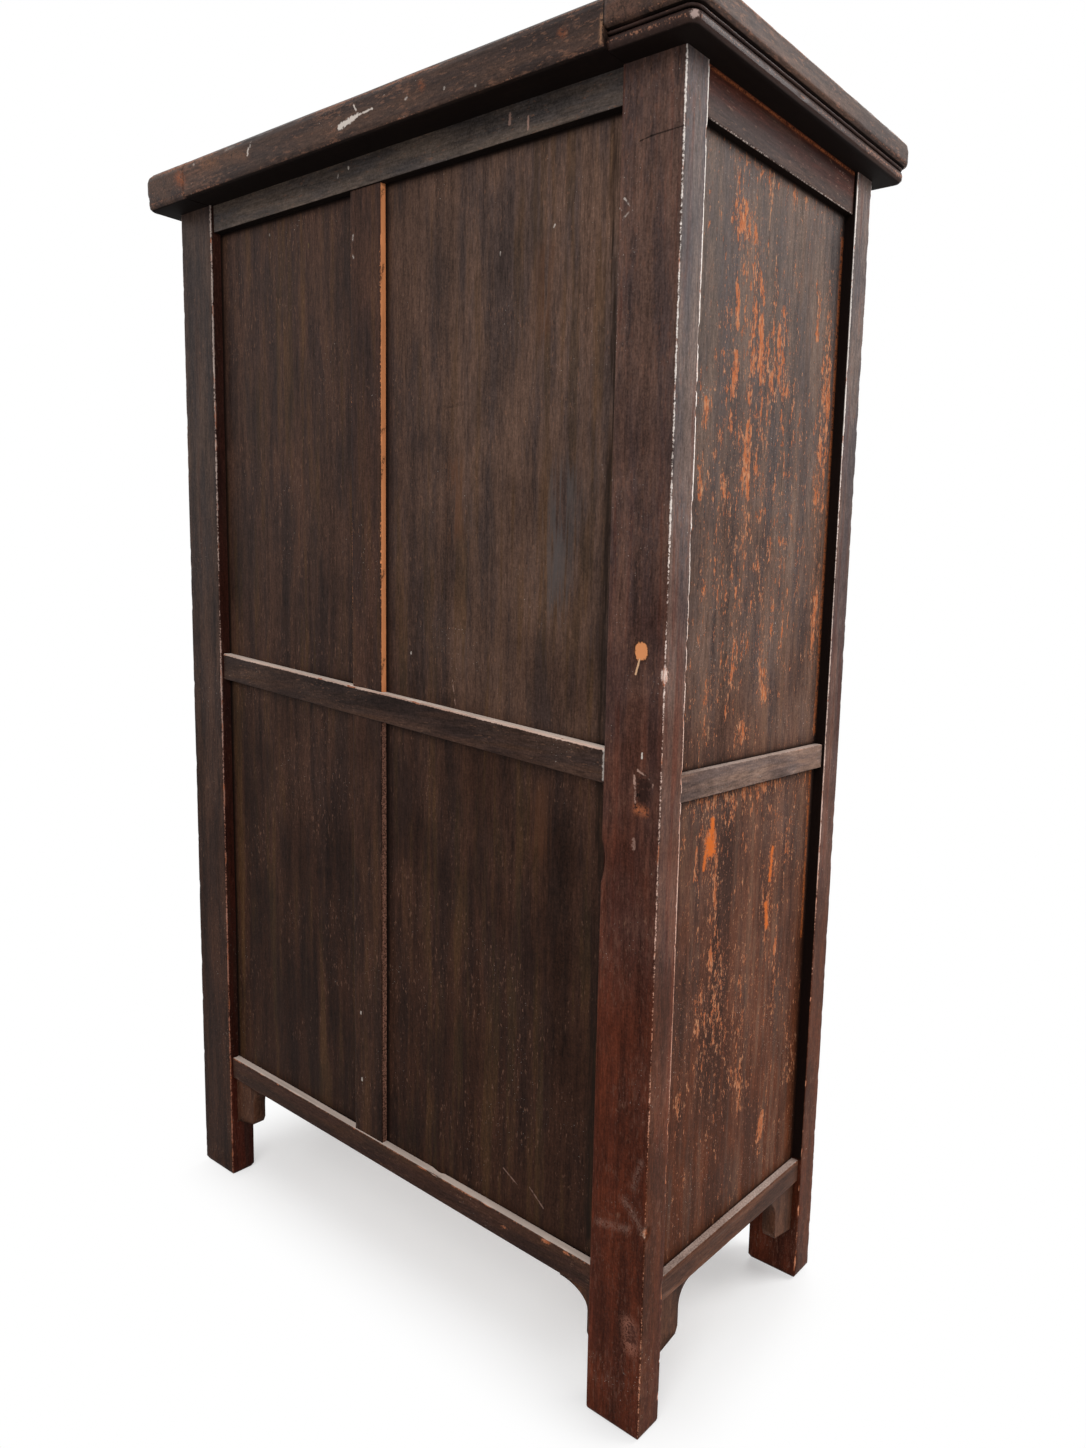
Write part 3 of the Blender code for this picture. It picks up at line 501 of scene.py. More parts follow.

# %% [markdown]
# ## Lacquer
# The lacquer is a thin brown-black coat over a red-brown ground, brushed on along the grain. Old lacquer
# shows several things at once: fibres of the wood, long streaks of the brush, a cloudy change of tone towards
# the top, and wear that starts at the arrises. Each is a noise with its own size, stretched along the grain,
# and the wear follows the notes that the boards carry. The greyer, paler top tone is partly a painted sheen.
# Some faces take a second pair of tones: a painted sheen on faces that look out to the sides and ends, a
# painted shade on the far back post's inner faces, and the red ground where the coat is lost. A mark that
# sits in one place, such as a knot or a scratch, is a stroke: a short line on the wood with a ragged margin.

# %% Strokes
RAW_ORANGE = srgb(164, 92, 56)
RAW_TAN = srgb(180, 134, 102)
BRIGHT_ORANGE = srgb(194, 98, 40)
PALE = srgb(214, 202, 192)
PINK_PALE = srgb(168, 134, 120)
DARK = srgb(16, 9, 7)


def note(start, name):
    return start.node("ShaderNodeAttribute", {"attribute_name": name}, out="Fac")


def off_line(place, start, end):
    """Distance from the line between two points."""
    run = Vector(end) - Vector(start)
    from_start = place.vector("SUBTRACT", place, start)
    part = place.vector("DOT_PRODUCT", from_start, run / max(run.length_squared, 1e-9), out="Value")
    nearest = place.node("ShaderNodeVectorMath", {"operation": "SCALE"},
                         {0: run, "Scale": place.node("ShaderNodeClamp", None, {0: part})})
    return place.vector("DISTANCE", from_start, nearest, out="Value")


def stroke(place, ragged, start, end, width, softness):
    """1 within width of the line from start to end; a soft stroke is ragged and broken."""
    away = off_line(place, start, end)
    margin = (ragged - 0.5) * (width * (0.4 + 9.0 * softness))
    seen = smooth(away + margin, width * (1 + softness), width * (1 - softness))
    return seen * smooth(ragged, 0.42, 0.56) if softness > 0.5 else seen


def paint_strokes(coat, place, ragged, strokes):
    """Strokes of (colour, amount, width, softness, start, end), later ones on top."""
    for colour, amount, width, softness, start, end in strokes:
        coat = mixed(stroke(place, ragged, start, end, width, softness) * amount, coat, colour)
    return coat


def on_back(depth, *strokes):
    """Strokes on a wall that faces back, from (colour, amount, width, softness, x, z, x, z) at one depth."""
    return [(*first, (x0, depth, z0), (x1, depth, z1)) for *first, x0, z0, x1, z1 in strokes]


def on_side(offset, *strokes):
    """Strokes on the left wall, from (colour, amount, width, softness, y, z, y, z) at one offset."""
    return [(*first, (offset, y0, z0), (offset, y1, z1)) for *first, y0, z0, y1, z1 in strokes]


print("strokes ready")

# %% Lacquer finish
def along_grain(shrink):
    """Scale per grain direction that draws a noise out along the grain."""
    return {axis: tuple(shrink if axis == other else 1.0 for other in "XYZ") for axis in "XYZ"}


GRAIN_STRETCH = along_grain(0.05)
FIBRE_STRETCH = along_grain(0.14)
FLECK_STRETCH = along_grain(0.3)
CHIP_LOW, CHIP_HIGH = srgb(180, 118, 88), srgb(196, 178, 168)
DUST_THIN, DUST_THICK = srgb(138, 112, 104), srgb(246, 226, 212)
SLEEK_TONE = srgb(50, 36, 33)
COOL, WARM = (0.74, 0.77, 0.83, 1.0), (1.27, 1.18, 1.08, 1.0)
SHINE_LEVEL, LACQUER_ROUGHNESS = 0.045, 0.42


def close_finish(material, start, colour, roughness, height, bump=0.5, distance=0.0006, metallic=0.0,
                 shine=SHINE_LEVEL):
    """Principled shader with a bump from a height in 0 to 1."""
    relief = start.node("ShaderNodeBump", None, {"Strength": bump, "Distance": distance, "Height": height})
    shader = start.node("ShaderNodeBsdfPrincipled", None,
                        {"Base Color": colour, "Roughness": roughness, "Metallic": metallic,
                         "Specular IOR Level": shine, "Normal": relief})
    start.node("ShaderNodeOutputMaterial", None, {"Surface": shader})
    return material


def flaked(coat, start, place, fibre, flakes):
    """The coat with ragged flakes where the flake note is high or a flake line runs, and where it is lost."""
    patches = blotches(stretched(place, (1.0, 1.0, 0.26)), 105.0, 6.0, 0.74)
    shreds = blotches(stretched(place, (1.0, 1.0, 0.4)), 420.0, 4.0, 0.66)
    lost = note(start, "flake")
    for amount, width, begin, end in flakes:
        lost = lost + smooth(off_line(place, begin, end), width * 2.0, width * 0.4) * amount
    lost = lost.sum("MINIMUM", lost, 0.9)
    level = (patches - 0.5) * 0.85 + (shreds - 0.5) * 0.55 + lost * 0.17
    solid = smooth(level, 0.142, 0.166)
    hole = solid.sum("MAXIMUM", solid, smooth(shreds + lost * 0.1, 0.66, 0.70) * 0.8)
    coat = mixed(smooth(level, 0.08, 0.16) * 0.45, coat, srgb(108, 66, 50))
    raw = mixed(smooth(fibre + (shreds - 0.5) * 0.8, 0.46, 0.74), RAW_ORANGE, RAW_TAN)
    return mixed(hole, coat, raw), hole


def lacquer(name, grain, low, high, streak, faded=None, rub=0.9, chips=(CHIP_LOW, CHIP_HIGH), raw=RAW_ORANGE,
            mottle=None, flakes=(), strokes=(), stains_and_painted_light=(), shine=SHINE_LEVEL):
    """Old lacquer: low and high are its colours at the foot and at the top.

    The greyer top is partly a painted sheen. A second pair of tones, where given, is mixed in by a note: the
    pieces use it for a painted sheen, for a painted shade, and for the red ground where the coat is lost.
    """
    material, start, place = new_finish(name)
    level = start.node("ShaderNodeSeparateXYZ", None, {0: place}, out="Z")
    along = stretched(place, GRAIN_STRETCH[grain])
    fibre = blotches(stretched(place, FIBRE_STRETCH[grain]), 380.0, 4.0, 0.68)
    brushed = blotches(along, 85.0, 3.0)
    broad = blotches(along, 19.0, 2.0)
    cloud = blotches(place, 8.0, 4.0)
    grit = blotches(place, 340.0, 4.0, 0.68)
    tint = blotches(stretched(place, FIBRE_STRETCH[grain]), 34.0, 4.0, 0.64)
    edge, bare, dust, grime = (note(start, note_name) for note_name in ("edge", "bare", "dust", "grime"))
    roughness = LACQUER_ROUGHNESS
    # Towards the top the tone turns greyer and paler: partly a painted sheen.
    rise = smooth(level + (cloud - 0.5) * 0.7, 0.35, 1.5)
    coat = mixed(rise, low, high)
    # A second pair of tones: painted sheen on some faces, painted shade on others, and the red ground where
    # the coat is lost.
    if faded:
        coat = mixed(note(start, "faded"), coat, mixed(rise, *faded))
    coat = mixed(smooth(brushed + (broad - 0.5) * 0.6, 0.5, 0.68) * 0.6, coat, streak)
    coat = dimmed(coat, 1.0 + (brushed - 0.5) * 1.4 + (fibre - 0.5) * 1.9)
    coat = dimmed(coat, 1.0 + (broad - 0.5) * 1.5 + (cloud - 0.5) * 0.8 + (grit - 0.5) * 1.5)
    coat = dimmed(coat, mixed(smooth(tint, 0.38, 0.62), COOL, WARM))
    fleck_place = stretched(place, FLECK_STRETCH[grain])
    flecks = smooth(blotches(fleck_place, 300.0, 4.0, 0.6), 0.60, 0.69)
    coat = mixed(flecks * smooth(cloud, 0.36, 0.58) * 0.55, coat, srgb(126, 92, 74))
    if mottle:
        spots = smooth(blotches(fleck_place, 200.0, 5.0, 0.7) + (cloud - 0.5) * 0.4, 0.55, 0.64)
        sleek = note(start, "sleek")
        worn_off = smooth(blotches(place, 60.0, 6.0, 0.74) + (cloud - 0.5) * 0.3, 0.56, 0.66) * 0.6
        coat = mixed(worn_off * (1 - sleek) * mottle[0], coat, mixed(0.45, coat, mottle[1]))
        coat = mixed(spots * (1 - sleek) * mottle[0], coat, mottle[1])
        coat = mixed(sleek * 0.75, coat, SLEEK_TONE)
        roughness = roughness - sleek * 0.16
    if flakes:
        coat, hole = flaked(coat, start, place, fibre, flakes)
    specks = smooth(blotches(place, 420.0, 1.0), 0.745, 0.77) * smooth(cloud, 0.5, 0.62)
    coat = mixed(specks * 0.6, coat, PALE)
    # Stain marks go under the wear; among them are a painted shadow and a painted sheen.
    coat = paint_strokes(coat, place, brushed, stains_and_painted_light)
    worn = dimmed(mixed(rise, *chips), 0.2 + brushed * 0.8 + tint * 0.8)
    rubbed = smooth(edge + (grit - 0.5) * 0.8 + (cloud - 0.5) * 0.5 + (rise - 1.0) * 0.1, 0.72, 0.84)
    coat = mixed(rubbed * rub, coat, worn)
    chipped = smooth(bare + (grit - 0.5) * 0.6, 0.36, 0.56)
    coat = mixed(chipped, coat, mixed(smooth(fibre, 0.38, 0.62), worn, raw) if raw else worn)
    # Painted shade: recesses and undersides turn nearly black.
    shaded = smooth(grime + (cloud - 0.5) * 0.25, 0.05, 0.95) * 0.97
    coat = mixed(shaded, coat, DARK)
    coat = paint_strokes(coat, place, blotches(place, 230.0, 6.0, 0.74), strokes)
    dusty = smooth(dust + (grit - 0.5) * 0.5 + (cloud - 0.5) * 0.4, 0.25, 0.7)
    coat = mixed(dusty * (0.45 + brushed * 0.9), coat, mixed(dust, DUST_THIN, DUST_THICK))
    if flakes:
        chipped = chipped.sum("MAXIMUM", chipped, hole)
    rough = roughness + (cloud - 0.5) * 0.3 + chipped * 0.25 + dusty * 0.3 + shaded * 0.4
    height = fibre * 0.4 + brushed * 0.3 - chipped * 0.5 + grit * 0.1
    return close_finish(material, start, coat, rough, height, shine=shine)


print("lacquer ready")

# %% [markdown]
# ## Plain wood and brass
# Inside, the shelf and the floor were never lacquered: plain wood, browned by age, with dark growth lines.
# The brass of the lock has gone brown in its hollows and stays bright where hands rub it. Metal has no colour
# of its own apart from its reflection, so the brown is a darker tint of the same metal, not a paint.

# %% Inside wood and aged brass
def inside_wood(name, grain):
    material, start, place = new_finish(name)
    along = stretched(place, GRAIN_STRETCH[grain])
    lines = blotches(along, 160.0, 4.0, 0.6)
    fibre = blotches(along, 700.0, 3.0)
    cloud = blotches(place, 6.0, 4.0)
    wood = mixed(smooth(lines, 0.36, 0.62), srgb(104, 70, 46), srgb(150, 110, 76))
    wood = dimmed(wood, 0.66 + 0.68 * fibre)
    wood = mixed(smooth(cloud, 0.45, 0.7) * 0.5, wood, srgb(84, 60, 44))
    wood = mixed(smooth(note(start, "edge") + (lines - 0.5), 0.9, 1.2) * 0.5, wood, srgb(176, 136, 98))
    rough = 0.66 + (fibre - 0.5) * 0.2
    return close_finish(material, start, wood, rough, lines * 0.5 + fibre * 0.5, shine=0.3)


def aged_brass(name):
    material, start, place = new_finish(name)
    cloud = blotches(place, 60.0, 5.0, 0.6)
    scratch = blotches(stretched(place, (1.0, 1.0, 0.15)), 900.0, 3.0)
    rubbed = smooth(note(start, "edge") + (cloud - 0.5) * 0.8, 0.4, 0.9)
    metal = mixed(smooth(cloud, 0.38, 0.66), srgb(118, 84, 44), srgb(190, 148, 78))
    metal = mixed(rubbed * 0.7, metal, srgb(222, 186, 112))
    rough = 0.5 - rubbed * 0.2 + (cloud - 0.5) * 0.3
    return close_finish(material, start, metal, rough, cloud * 0.6 + scratch * 0.4, 0.35, 0.0003, 1.0, 0.5)


board_finish = inside_wood("inside_wood", "X")
brass_finish = aged_brass("aged_brass")
print(len(bpy.data.materials), "finishes with wood and brass")

# %% [markdown]
# ## Posts
# Four posts run from the floor to the underside of the top and stand proud of everything between them. The
# near back post has had the hardest life: a knot shows through its lacquer, its arris is chipped for its
# whole height, and gouges sit on the lower half of its back face. Those marks are listed one by one, as
# hollows in the mesh and as strokes in the finish; the other posts only get the wandering wear.

# %% Four posts
SIDES = {"left": -1, "right": 1}
ENDS = {"front": -1, "back": 1}
(X_IN, Y_IN, _), (X_OUT, Y_OUT, POST_TOP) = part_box("post_back_right")
POST_GAP = 0.0003
REVEAL_LOW = 0.2145
FOOT_ROUND = 0.009
# The pale line along the inner arris is partly wear and partly a painted glint; it is weaker near the foot.
INNER_LINE_LEVELS, INNER_LINE_WEAR_AND_GLINT = (0.05, 0.75), (0.52, 1.0)
FAR_SHADE = 0.5
POST_TONES = (srgb(80, 38, 24), srgb(86, 67, 61), srgb(64, 31, 22))
# Painted sheen: paler, greyer tones for the faces that look out to the sides.
POST_SHEEN_TONES = (srgb(80, 44, 28), srgb(94, 83, 80))
POST_MOTTLE = (0.3, srgb(114, 78, 64))
# The pale top colour of the chips is partly worn paint and partly a painted glint along the arrises.
POST_CHIPS_AND_GLINTS = (srgb(200, 138, 108), srgb(234, 224, 216))
# Colour, amount, width, softness, and x and z of both ends of each stroke
NEAR_POST_STROKES = on_back(
    Y_OUT,
    (DARK, 0.8, 0.0112, 0.15, -0.4998, 1.0695, -0.4994, 1.0665),
    (srgb(222, 146, 96), 1.0, 0.0094, 0.1, -0.4998, 1.0700, -0.4994, 1.0660),
    (srgb(214, 170, 132), 1.0, 0.0014, 0.2, -0.4975, 1.0580, -0.4922, 1.0393),
    (PALE, 0.9, 0.0013, 0.3, -0.5066, 0.9415, -0.5064, 0.9355),
    (srgb(40, 25, 21), 0.85, 0.0105, 0.5, -0.5090, 0.9020, -0.5080, 0.8850),
    (PINK_PALE, 0.95, 0.0017, 0.4, -0.4950, 0.9120, -0.4975, 0.8790),
    (PINK_PALE, 0.95, 0.0017, 0.4, -0.5010, 0.9190, -0.5190, 0.9080),
    (PINK_PALE, 0.95, 0.0017, 0.4, -0.5240, 0.9040, -0.5160, 0.8800),
    (srgb(168, 98, 64), 1.0, 0.0066, 0.6, -0.5010, 0.8700, -0.5140, 0.8680),
    (DARK, 1.0, 0.0028, 0.3, -0.5010, 0.8880, -0.5006, 0.8855),
    (PINK_PALE, 0.6, 0.0026, 0.5, -0.4970, 0.8290, -0.4972, 0.8190),
    (PINK_PALE, 0.4, 0.0060, 0.9, -0.5012, 0.3382, -0.5292, 0.3101),
    (PINK_PALE, 0.35, 0.0055, 0.9, -0.4578, 0.2909, -0.5094, 0.3015),
    (PINK_PALE, 0.3, 0.0050, 0.9, -0.5271, 0.4037, -0.5154, 0.3639),
    (srgb(206, 170, 148), 0.8, 0.0034, 0.5, -0.5372, 0.3110, -0.5350, 0.3030),
    (srgb(158, 106, 88), 0.95, 0.0130, 0.7, -0.5160, 0.1660, -0.5200, 0.1360),
    (srgb(70, 40, 32), 0.8, 0.0075, 0.5, -0.5185, 0.1600, -0.5205, 0.1440),
    (PALE, 0.6, 0.0011, 0.5, -0.4530, 1.6010, -0.4600, 1.5920),
    (PALE, 0.7, 0.0014, 0.6, -0.4590, 1.5850, -0.4530, 1.5800),
    (DARK, 0.8, 0.0008, 0.4, -0.4736, 1.6605, -0.4900, 1.6630),
    (DARK, 0.8, 0.0009, 0.4, -0.4900, 1.6630, -0.5370, 1.6640),
)
# Centre, radii, depth and bareness of each hollow
NEAR_POST_HOLLOWS = [
    ((-0.4996, Y_OUT, 1.0683), (0.0120, 0.012, 0.0130), 0.0007, 0.0),
    ((-0.5100, Y_OUT, 0.8930), (0.0170, 0.012, 0.0290), 0.0030, 0.0),
    ((-0.5090, Y_OUT, 0.8700), (0.0100, 0.012, 0.0090), 0.0014, 0.0),
    ((-0.4970, Y_OUT, 0.8230), (0.0050, 0.012, 0.0090), 0.0013, 0.0),
    ((-0.5130, Y_OUT, 0.3250), (0.0240, 0.012, 0.0280), 0.0024, 0.0),
    ((-0.4760, Y_OUT, 0.3020), (0.0240, 0.012, 0.0120), 0.0016, 0.0),
    ((-0.5190, Y_OUT, 0.1500), (0.0130, 0.012, 0.0240), 0.0032, 0.0),
    ((-X_OUT, Y_OUT, 0.3070), (0.0080, 0.010, 0.0100), 0.0032, 0.6),
    ((-X_OUT, Y_OUT, 1.0410), (0.0100, 0.012, 0.0170), 0.0034, 0.7),
    ((-X_IN, Y_OUT, 0.7930), (0.0065, 0.020, 0.0280), 0.0036, 0.1),
    ((-0.4560, Y_OUT, 1.5910), (0.0070, 0.010, 0.0120), 0.0010, 0.0),
]
post_finish = lacquer("post_lacquer", "Z", *POST_TONES, POST_SHEEN_TONES, chips=POST_CHIPS_AND_GLINTS, mottle=POST_MOTTLE,
                      strokes=NEAR_POST_STROKES)
# The far back post takes a darker copy of the post lacquer, a painted shade, and a darker, redder painted
# shade on its inner faces.
FAR_SHADED_TONES = (srgb(62, 42, 34), srgb(72, 59, 54), srgb(50, 34, 28))
FAR_INNER_SHADE_TONES = (srgb(68, 32, 24), srgb(68, 40, 34))
FAR_SHADED_CHIPS = (srgb(166, 108, 86), srgb(190, 170, 160))
far_post_shaded_finish = lacquer("far_post_shaded_lacquer", "Z", *FAR_SHADED_TONES, FAR_INNER_SHADE_TONES, chips=FAR_SHADED_CHIPS)


def make_post(end_name, side_name):
    end, side = ENDS[end_name], SIDES[side_name]
    near = (end_name, side_name) == ("back", "left")
    far = (end_name, side_name) == ("back", "right")
    inner_arris_wear_and_glint = 1.2 if end > 0 else 0.95
    back_wear = 0.62 if near else 0.88 if far else 0.82
    section = [(side * X_IN, end * Y_IN, 0.0020, 0.3), (side * X_OUT, end * Y_IN, 0.0017, inner_arris_wear_and_glint),
               (side * X_OUT, end * Y_OUT, 0.0018, 0.84), (side * X_IN, end * Y_OUT, 0.0022, back_wear)]
    spacing = 0.0030 if near else 0.0060
    skin = draw_along(section, "Z", 0.0, POST_TOP, spacing, spacing, 0.0018)
    below = np.clip(FOOT_ROUND - skin.points[:, 2], 0, FOOT_ROUND)
    inset = FOOT_ROUND - np.sqrt(FOOT_ROUND ** 2 - below ** 2)
    for axis, inner, outer in ((0, side * X_IN, side * X_OUT), (1, end * Y_IN, end * Y_OUT)):
        middle, half = (inner + outer) / 2, abs(outer - inner) / 2
        skin.points[:, axis] = middle + (skin.points[:, axis] - middle) * (1 - inset / half)
    wear_down(skin, 11 + 2 * side + 5 * end, "Z", depth=0.0015, length=0.014, share=0.46, sag=0.0005)
    if near:
        gouge(skin, NEAR_POST_HOLLOWS)
    inner_line = end * skin.points[:, 1] < Y_IN + 2 * ARRIS_REACH
    inner_wear_and_glint = np.interp(skin.points[:, 2], INNER_LINE_LEVELS, INNER_LINE_WEAR_AND_GLINT)
    skin.edge *= np.where(inner_line, inner_wear_and_glint, 1.0)
    outward, inward = side * skin.normals[:, 0], -end * skin.normals[:, 1]
    # Painted sheen on the faces that look out to the sides; on the far back post, painted shade on its inner
    # faces instead.
    skin.faded = ramp(-outward if far else outward, 0.55, 0.95)
    # Painted shade on the inner faces above the bottom rails, weaker on the far back post.
    skin.grime = ramp(np.maximum(-outward, inward), 0.85, 1.0) * (skin.points[:, 2] > REVEAL_LOW)
    if far:
        skin.grime *= FAR_SHADE
    finish = far_post_shaded_finish if far else post_finish
    fit_piece(f"post_{end_name}_{side_name}", [skin], finish)


for end_word in ENDS:
    for side_word in SIDES:
        make_post(end_word, side_word)
print("posts", {name: count for name, count in made.items() if name.startswith("post")})

# %% [markdown]
# ## Back wall
# Three rails and two muntins hold four thin panels. The middle rail was fitted by eye and climbs towards the
# right-hand post; its near end stops a little short. The bottom rail climbs too, by about a third as much.
# The muntins stand 3 mm behind the rails, so their arrises catch less light. The upper muntin has lost the
# coat on the side that looks left: the raw wood shows.

# %% Back rails and muntins
RAIL_SETBACK, RAIL_THICK = 0.005, 0.030
MUNTIN_SETBACK, MUNTIN_THICK = 0.008, 0.025
BACK_RAIL_Y = (Y_OUT - RAIL_SETBACK - RAIL_THICK, Y_OUT - RAIL_SETBACK)
MUNTIN_X = (0.009, 0.080)
MUNTIN_Y = (Y_OUT - MUNTIN_SETBACK - MUNTIN_THICK, Y_OUT - MUNTIN_SETBACK)
RAIL_END = X_IN - POST_GAP
SHORT_END = 0.0025
MID_RISE, BOTTOM_RISE = 0.060 / (2 * X_IN), 0.021 / (2 * X_IN)
# Lower and upper edge, near end, rise, dust, and wear of the upper arris of each rail
BACK_RAILS = {
    "back_top_rail": ((1.708, POST_TOP), -RAIL_END, 0.0, 0.0, 0.76),
    "back_mid_rail": ((0.923, 0.969), -RAIL_END + SHORT_END, MID_RISE, 1.0, 1.15),
    "back_bottom_rail": ((0.1875, 0.2275), -RAIL_END, BOTTOM_RISE, 0.8, 0.86),
}
BACK_RAIL_TONES = (srgb(62, 42, 35), srgb(70, 57, 51), srgb(52, 36, 26))
TOP_RAIL_TONES = (srgb(74, 66, 61), srgb(86, 77, 72), srgb(64, 57, 52))
RAIL_CHIPS = (CHIP_LOW, srgb(236, 216, 202))
MID_RAIL_STROKES = on_back(BACK_RAIL_Y[1], (PALE, 0.7, 0.0022, 0.5, -0.4415, 0.9360, -0.4415, 0.8990))
BOTTOM_RAIL_HOLLOWS = [
    ((-0.1185, 0.2270, 0.2247), (0.014, 0.014, 0.008), 0.0032, 0.5),
    ((-0.2730, 0.2315, 0.2010), (0.012, 0.010, 0.006), 0.0016, 0.5),
    ((-0.3570, 0.2315, 0.2140), (0.014, 0.012, 0.006), 0.0022, 0.6),
    ((-0.3960, 0.2315, 0.2130), (0.010, 0.012, 0.005), 0.0018, 0.6),
]
TOP_RAIL_STROKES = on_back(
    BACK_RAIL_Y[1],
    (PALE, 0.9, 0.0020, 0.3, 0.0790, 1.7400, 0.0785, 1.7395),
    (PALE, 0.6, 0.0013, 0.6, 0.1031, 1.7350, 0.1040, 1.7310),
    (PINK_PALE, 0.7, 0.0022, 0.5, -0.2551, 1.7400, -0.2545, 1.7290),
    (PINK_PALE, 0.8, 0.0015, 0.4, -0.2875, 1.7300, -0.2872, 1.7150),
)
top_rail_finish = lacquer("back_top_rail_lacquer", "X", *TOP_RAIL_TONES, strokes=TOP_RAIL_STROKES)
rail_finish = lacquer("back_rail_lacquer", "X", *BACK_RAIL_TONES, chips=RAIL_CHIPS, strokes=MID_RAIL_STROKES)
inside, outside = BACK_RAIL_Y
for number, (node_name, (levels, near_end, rise, dust_depth, upper_wear)) in enumerate(BACK_RAILS.items()):
    section = [(inside, levels[0], 0.002, 0.3), (outside, levels[0], 0.002, 0.6),
               (outside, levels[1], 0.002, upper_wear), (inside, levels[1], 0.002, 0.3)]
    rail = draw_along(section, "X", near_end, RAIL_END, *FINE, 0.002, rise)
    wear_down(rail, 40 + 7 * number, "X", depth=0.0012, length=0.020, share=0.44)
    if node_name == "back_bottom_rail":
        gouge(rail, BOTTOM_RAIL_HOLLOWS)
    dust_and_shade(rail, dust_depth, 0.9)
    finish = top_rail_finish if node_name == "back_top_rail" else rail_finish
    fit_piece(node_name, [rail], finish)

MUNTIN_TONES = (srgb(56, 37, 29), srgb(66, 47, 40), srgb(58, 40, 26))
MUNTIN_STROKES = on_back(
    MUNTIN_Y[1],
    (PALE, 0.7, 0.0016, 0.6, 0.0722, 1.6460, 0.0735, 1.6390),
    (PALE, 0.7, 0.0016, 0.7, 0.0740, 1.6170, 0.0715, 1.6140),
    (PALE, 0.7, 0.0018, 0.4, 0.0610, 0.3230, 0.0612, 0.3190),
    (PALE, 0.7, 0.0016, 0.4, 0.0630, 0.4370, 0.0632, 0.4340),
)
# Width and two levels of each place where the coat still holds on the raw side
COAT_LEFT = [
    (0.0030, 1.6980, 1.6900), (0.0024, 1.5960, 1.5720), (0.0030, 1.3640, 1.3560),
    (0.0026, 1.3220, 1.2900), (0.0030, 1.1540, 1.1400), (0.0024, 1.0200, 0.9960),
]
MUNTIN_STROKES += [(srgb(58, 38, 30), 0.9, width, 0.6, (MUNTIN_X[0], Y_OUT - 0.0140, upper),
                    (MUNTIN_X[0], Y_OUT - 0.0080, lower)) for width, upper, lower in COAT_LEFT]
# Levels of each muntin, and the colour and bareness of its worn side, which looks to the left
MUNTINS = {"back_upper_muntin": ((0.9690, 1.7085), srgb(234, 152, 100), 1.0),
           "back_lower_muntin": ((0.2265, 0.9290), srgb(168, 120, 100), 0.46)}
for number, (node_name, (levels, raw, bareness)) in enumerate(MUNTINS.items()):
    muntin_finish = lacquer(f"{node_name}_lacquer", "Z", *MUNTIN_TONES, strokes=MUNTIN_STROKES,
                            chips=(raw, raw), raw=None)
    section = board_section(MUNTIN_X, MUNTIN_Y, 0.0018, 0.74)
    muntin = draw_along(section, "Z", *levels, *FINE, 0.0008, end_wear=0.2)
    wear_down(muntin, 71 + 9 * number, "Z", depth=0.0010, length=0.024, share=0.42)
    rightward = muntin.normals[:, 0]
    muntin.bare = np.maximum(muntin.bare, bareness * ramp(-rightward, 0.8, 1.0))
    # Painted shade on the side that looks right.
    muntin.grime = ramp(rightward, 0.8, 1.0)
    fit_piece(node_name, [muntin], muntin_finish)
print("back frame", [name for name in made if name.startswith("back")])

# %% [markdown]
# ## Panels
# A panel is a thin board that floats in grooves, free to shrink. Its face is a little hollow and wavy, and
# shade is painted into the corners that it makes with the frame, as a dark band along the frame. On the side
# panels the lacquer has flaked off along the grain. Soft patches and short lines say where, and the finish
# breaks them up into flakes. Only the brightest flakes and the long scratches are strokes of their own.

# %% Panel maker
GROOVE = 0.007


def make_panel(node, thin, finish, body="carcass", seed=0, flakes=(), hollows=(), corner_grime=1.0,
               fade=0.0):
    """A floating panel in place of its solid; thin is the axis of its thickness."""
    low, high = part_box(node)
    wide = AXES["Y" if thin == "X" else "X"]
    section = board_section((low[0], high[0]), (low[1], high[1]), 0.0015, 0.0)
    skin = draw_along(section, "Z", low[2], high[2], 0.006, 0.006, 0.001, end_wear=0.0)
    wear_down(skin, seed, "Z", depth=0.0, sag=0.0011)
    across, level = skin.points[:, wide], skin.points[:, 2]
    to_edge = np.minimum.reduce([across - low[wide], high[wide] - across, level - low[2], high[2] - level])
    to_frame = to_edge - GROOVE
    # Painted shade along the frame: a dark band where the panel meets the rails and posts.
    skin.grime = corner_grime * np.maximum(ramp(to_frame, 0.0091, 0.0021), 0.5 * ramp(to_frame, 0.026, 0.0))
    for middle, height, half_width, half_height, amount in flakes:
        off_middle = ((across - middle) / half_width) ** 2 + ((level - height) / half_height) ** 2
        skin.flake += amount * np.exp(-off_middle)
    # Painted sheen, stronger towards the left end of the panel.
    skin.faded = fade * ramp(across, 0.1, -0.2)
    gouge(skin, hollows)
    fit_piece(node, [skin], finish, body)


print("panel maker ready")

# %% Back panels
PANEL_SETBACK = 0.017
PANEL_FACE = Y_OUT - PANEL_SETBACK
PANEL_TONES = (srgb(52, 33, 25), srgb(68, 50, 43), srgb(56, 40, 24))
# Painted sheen: a paler top tone for one panel, towards its left end.
PANEL_SHEEN_TONES = (PANEL_TONES[0], srgb(86, 68, 60))
BROWN_STREAK, GREY_SHEEN = srgb(92, 58, 38), srgb(82, 77, 76)
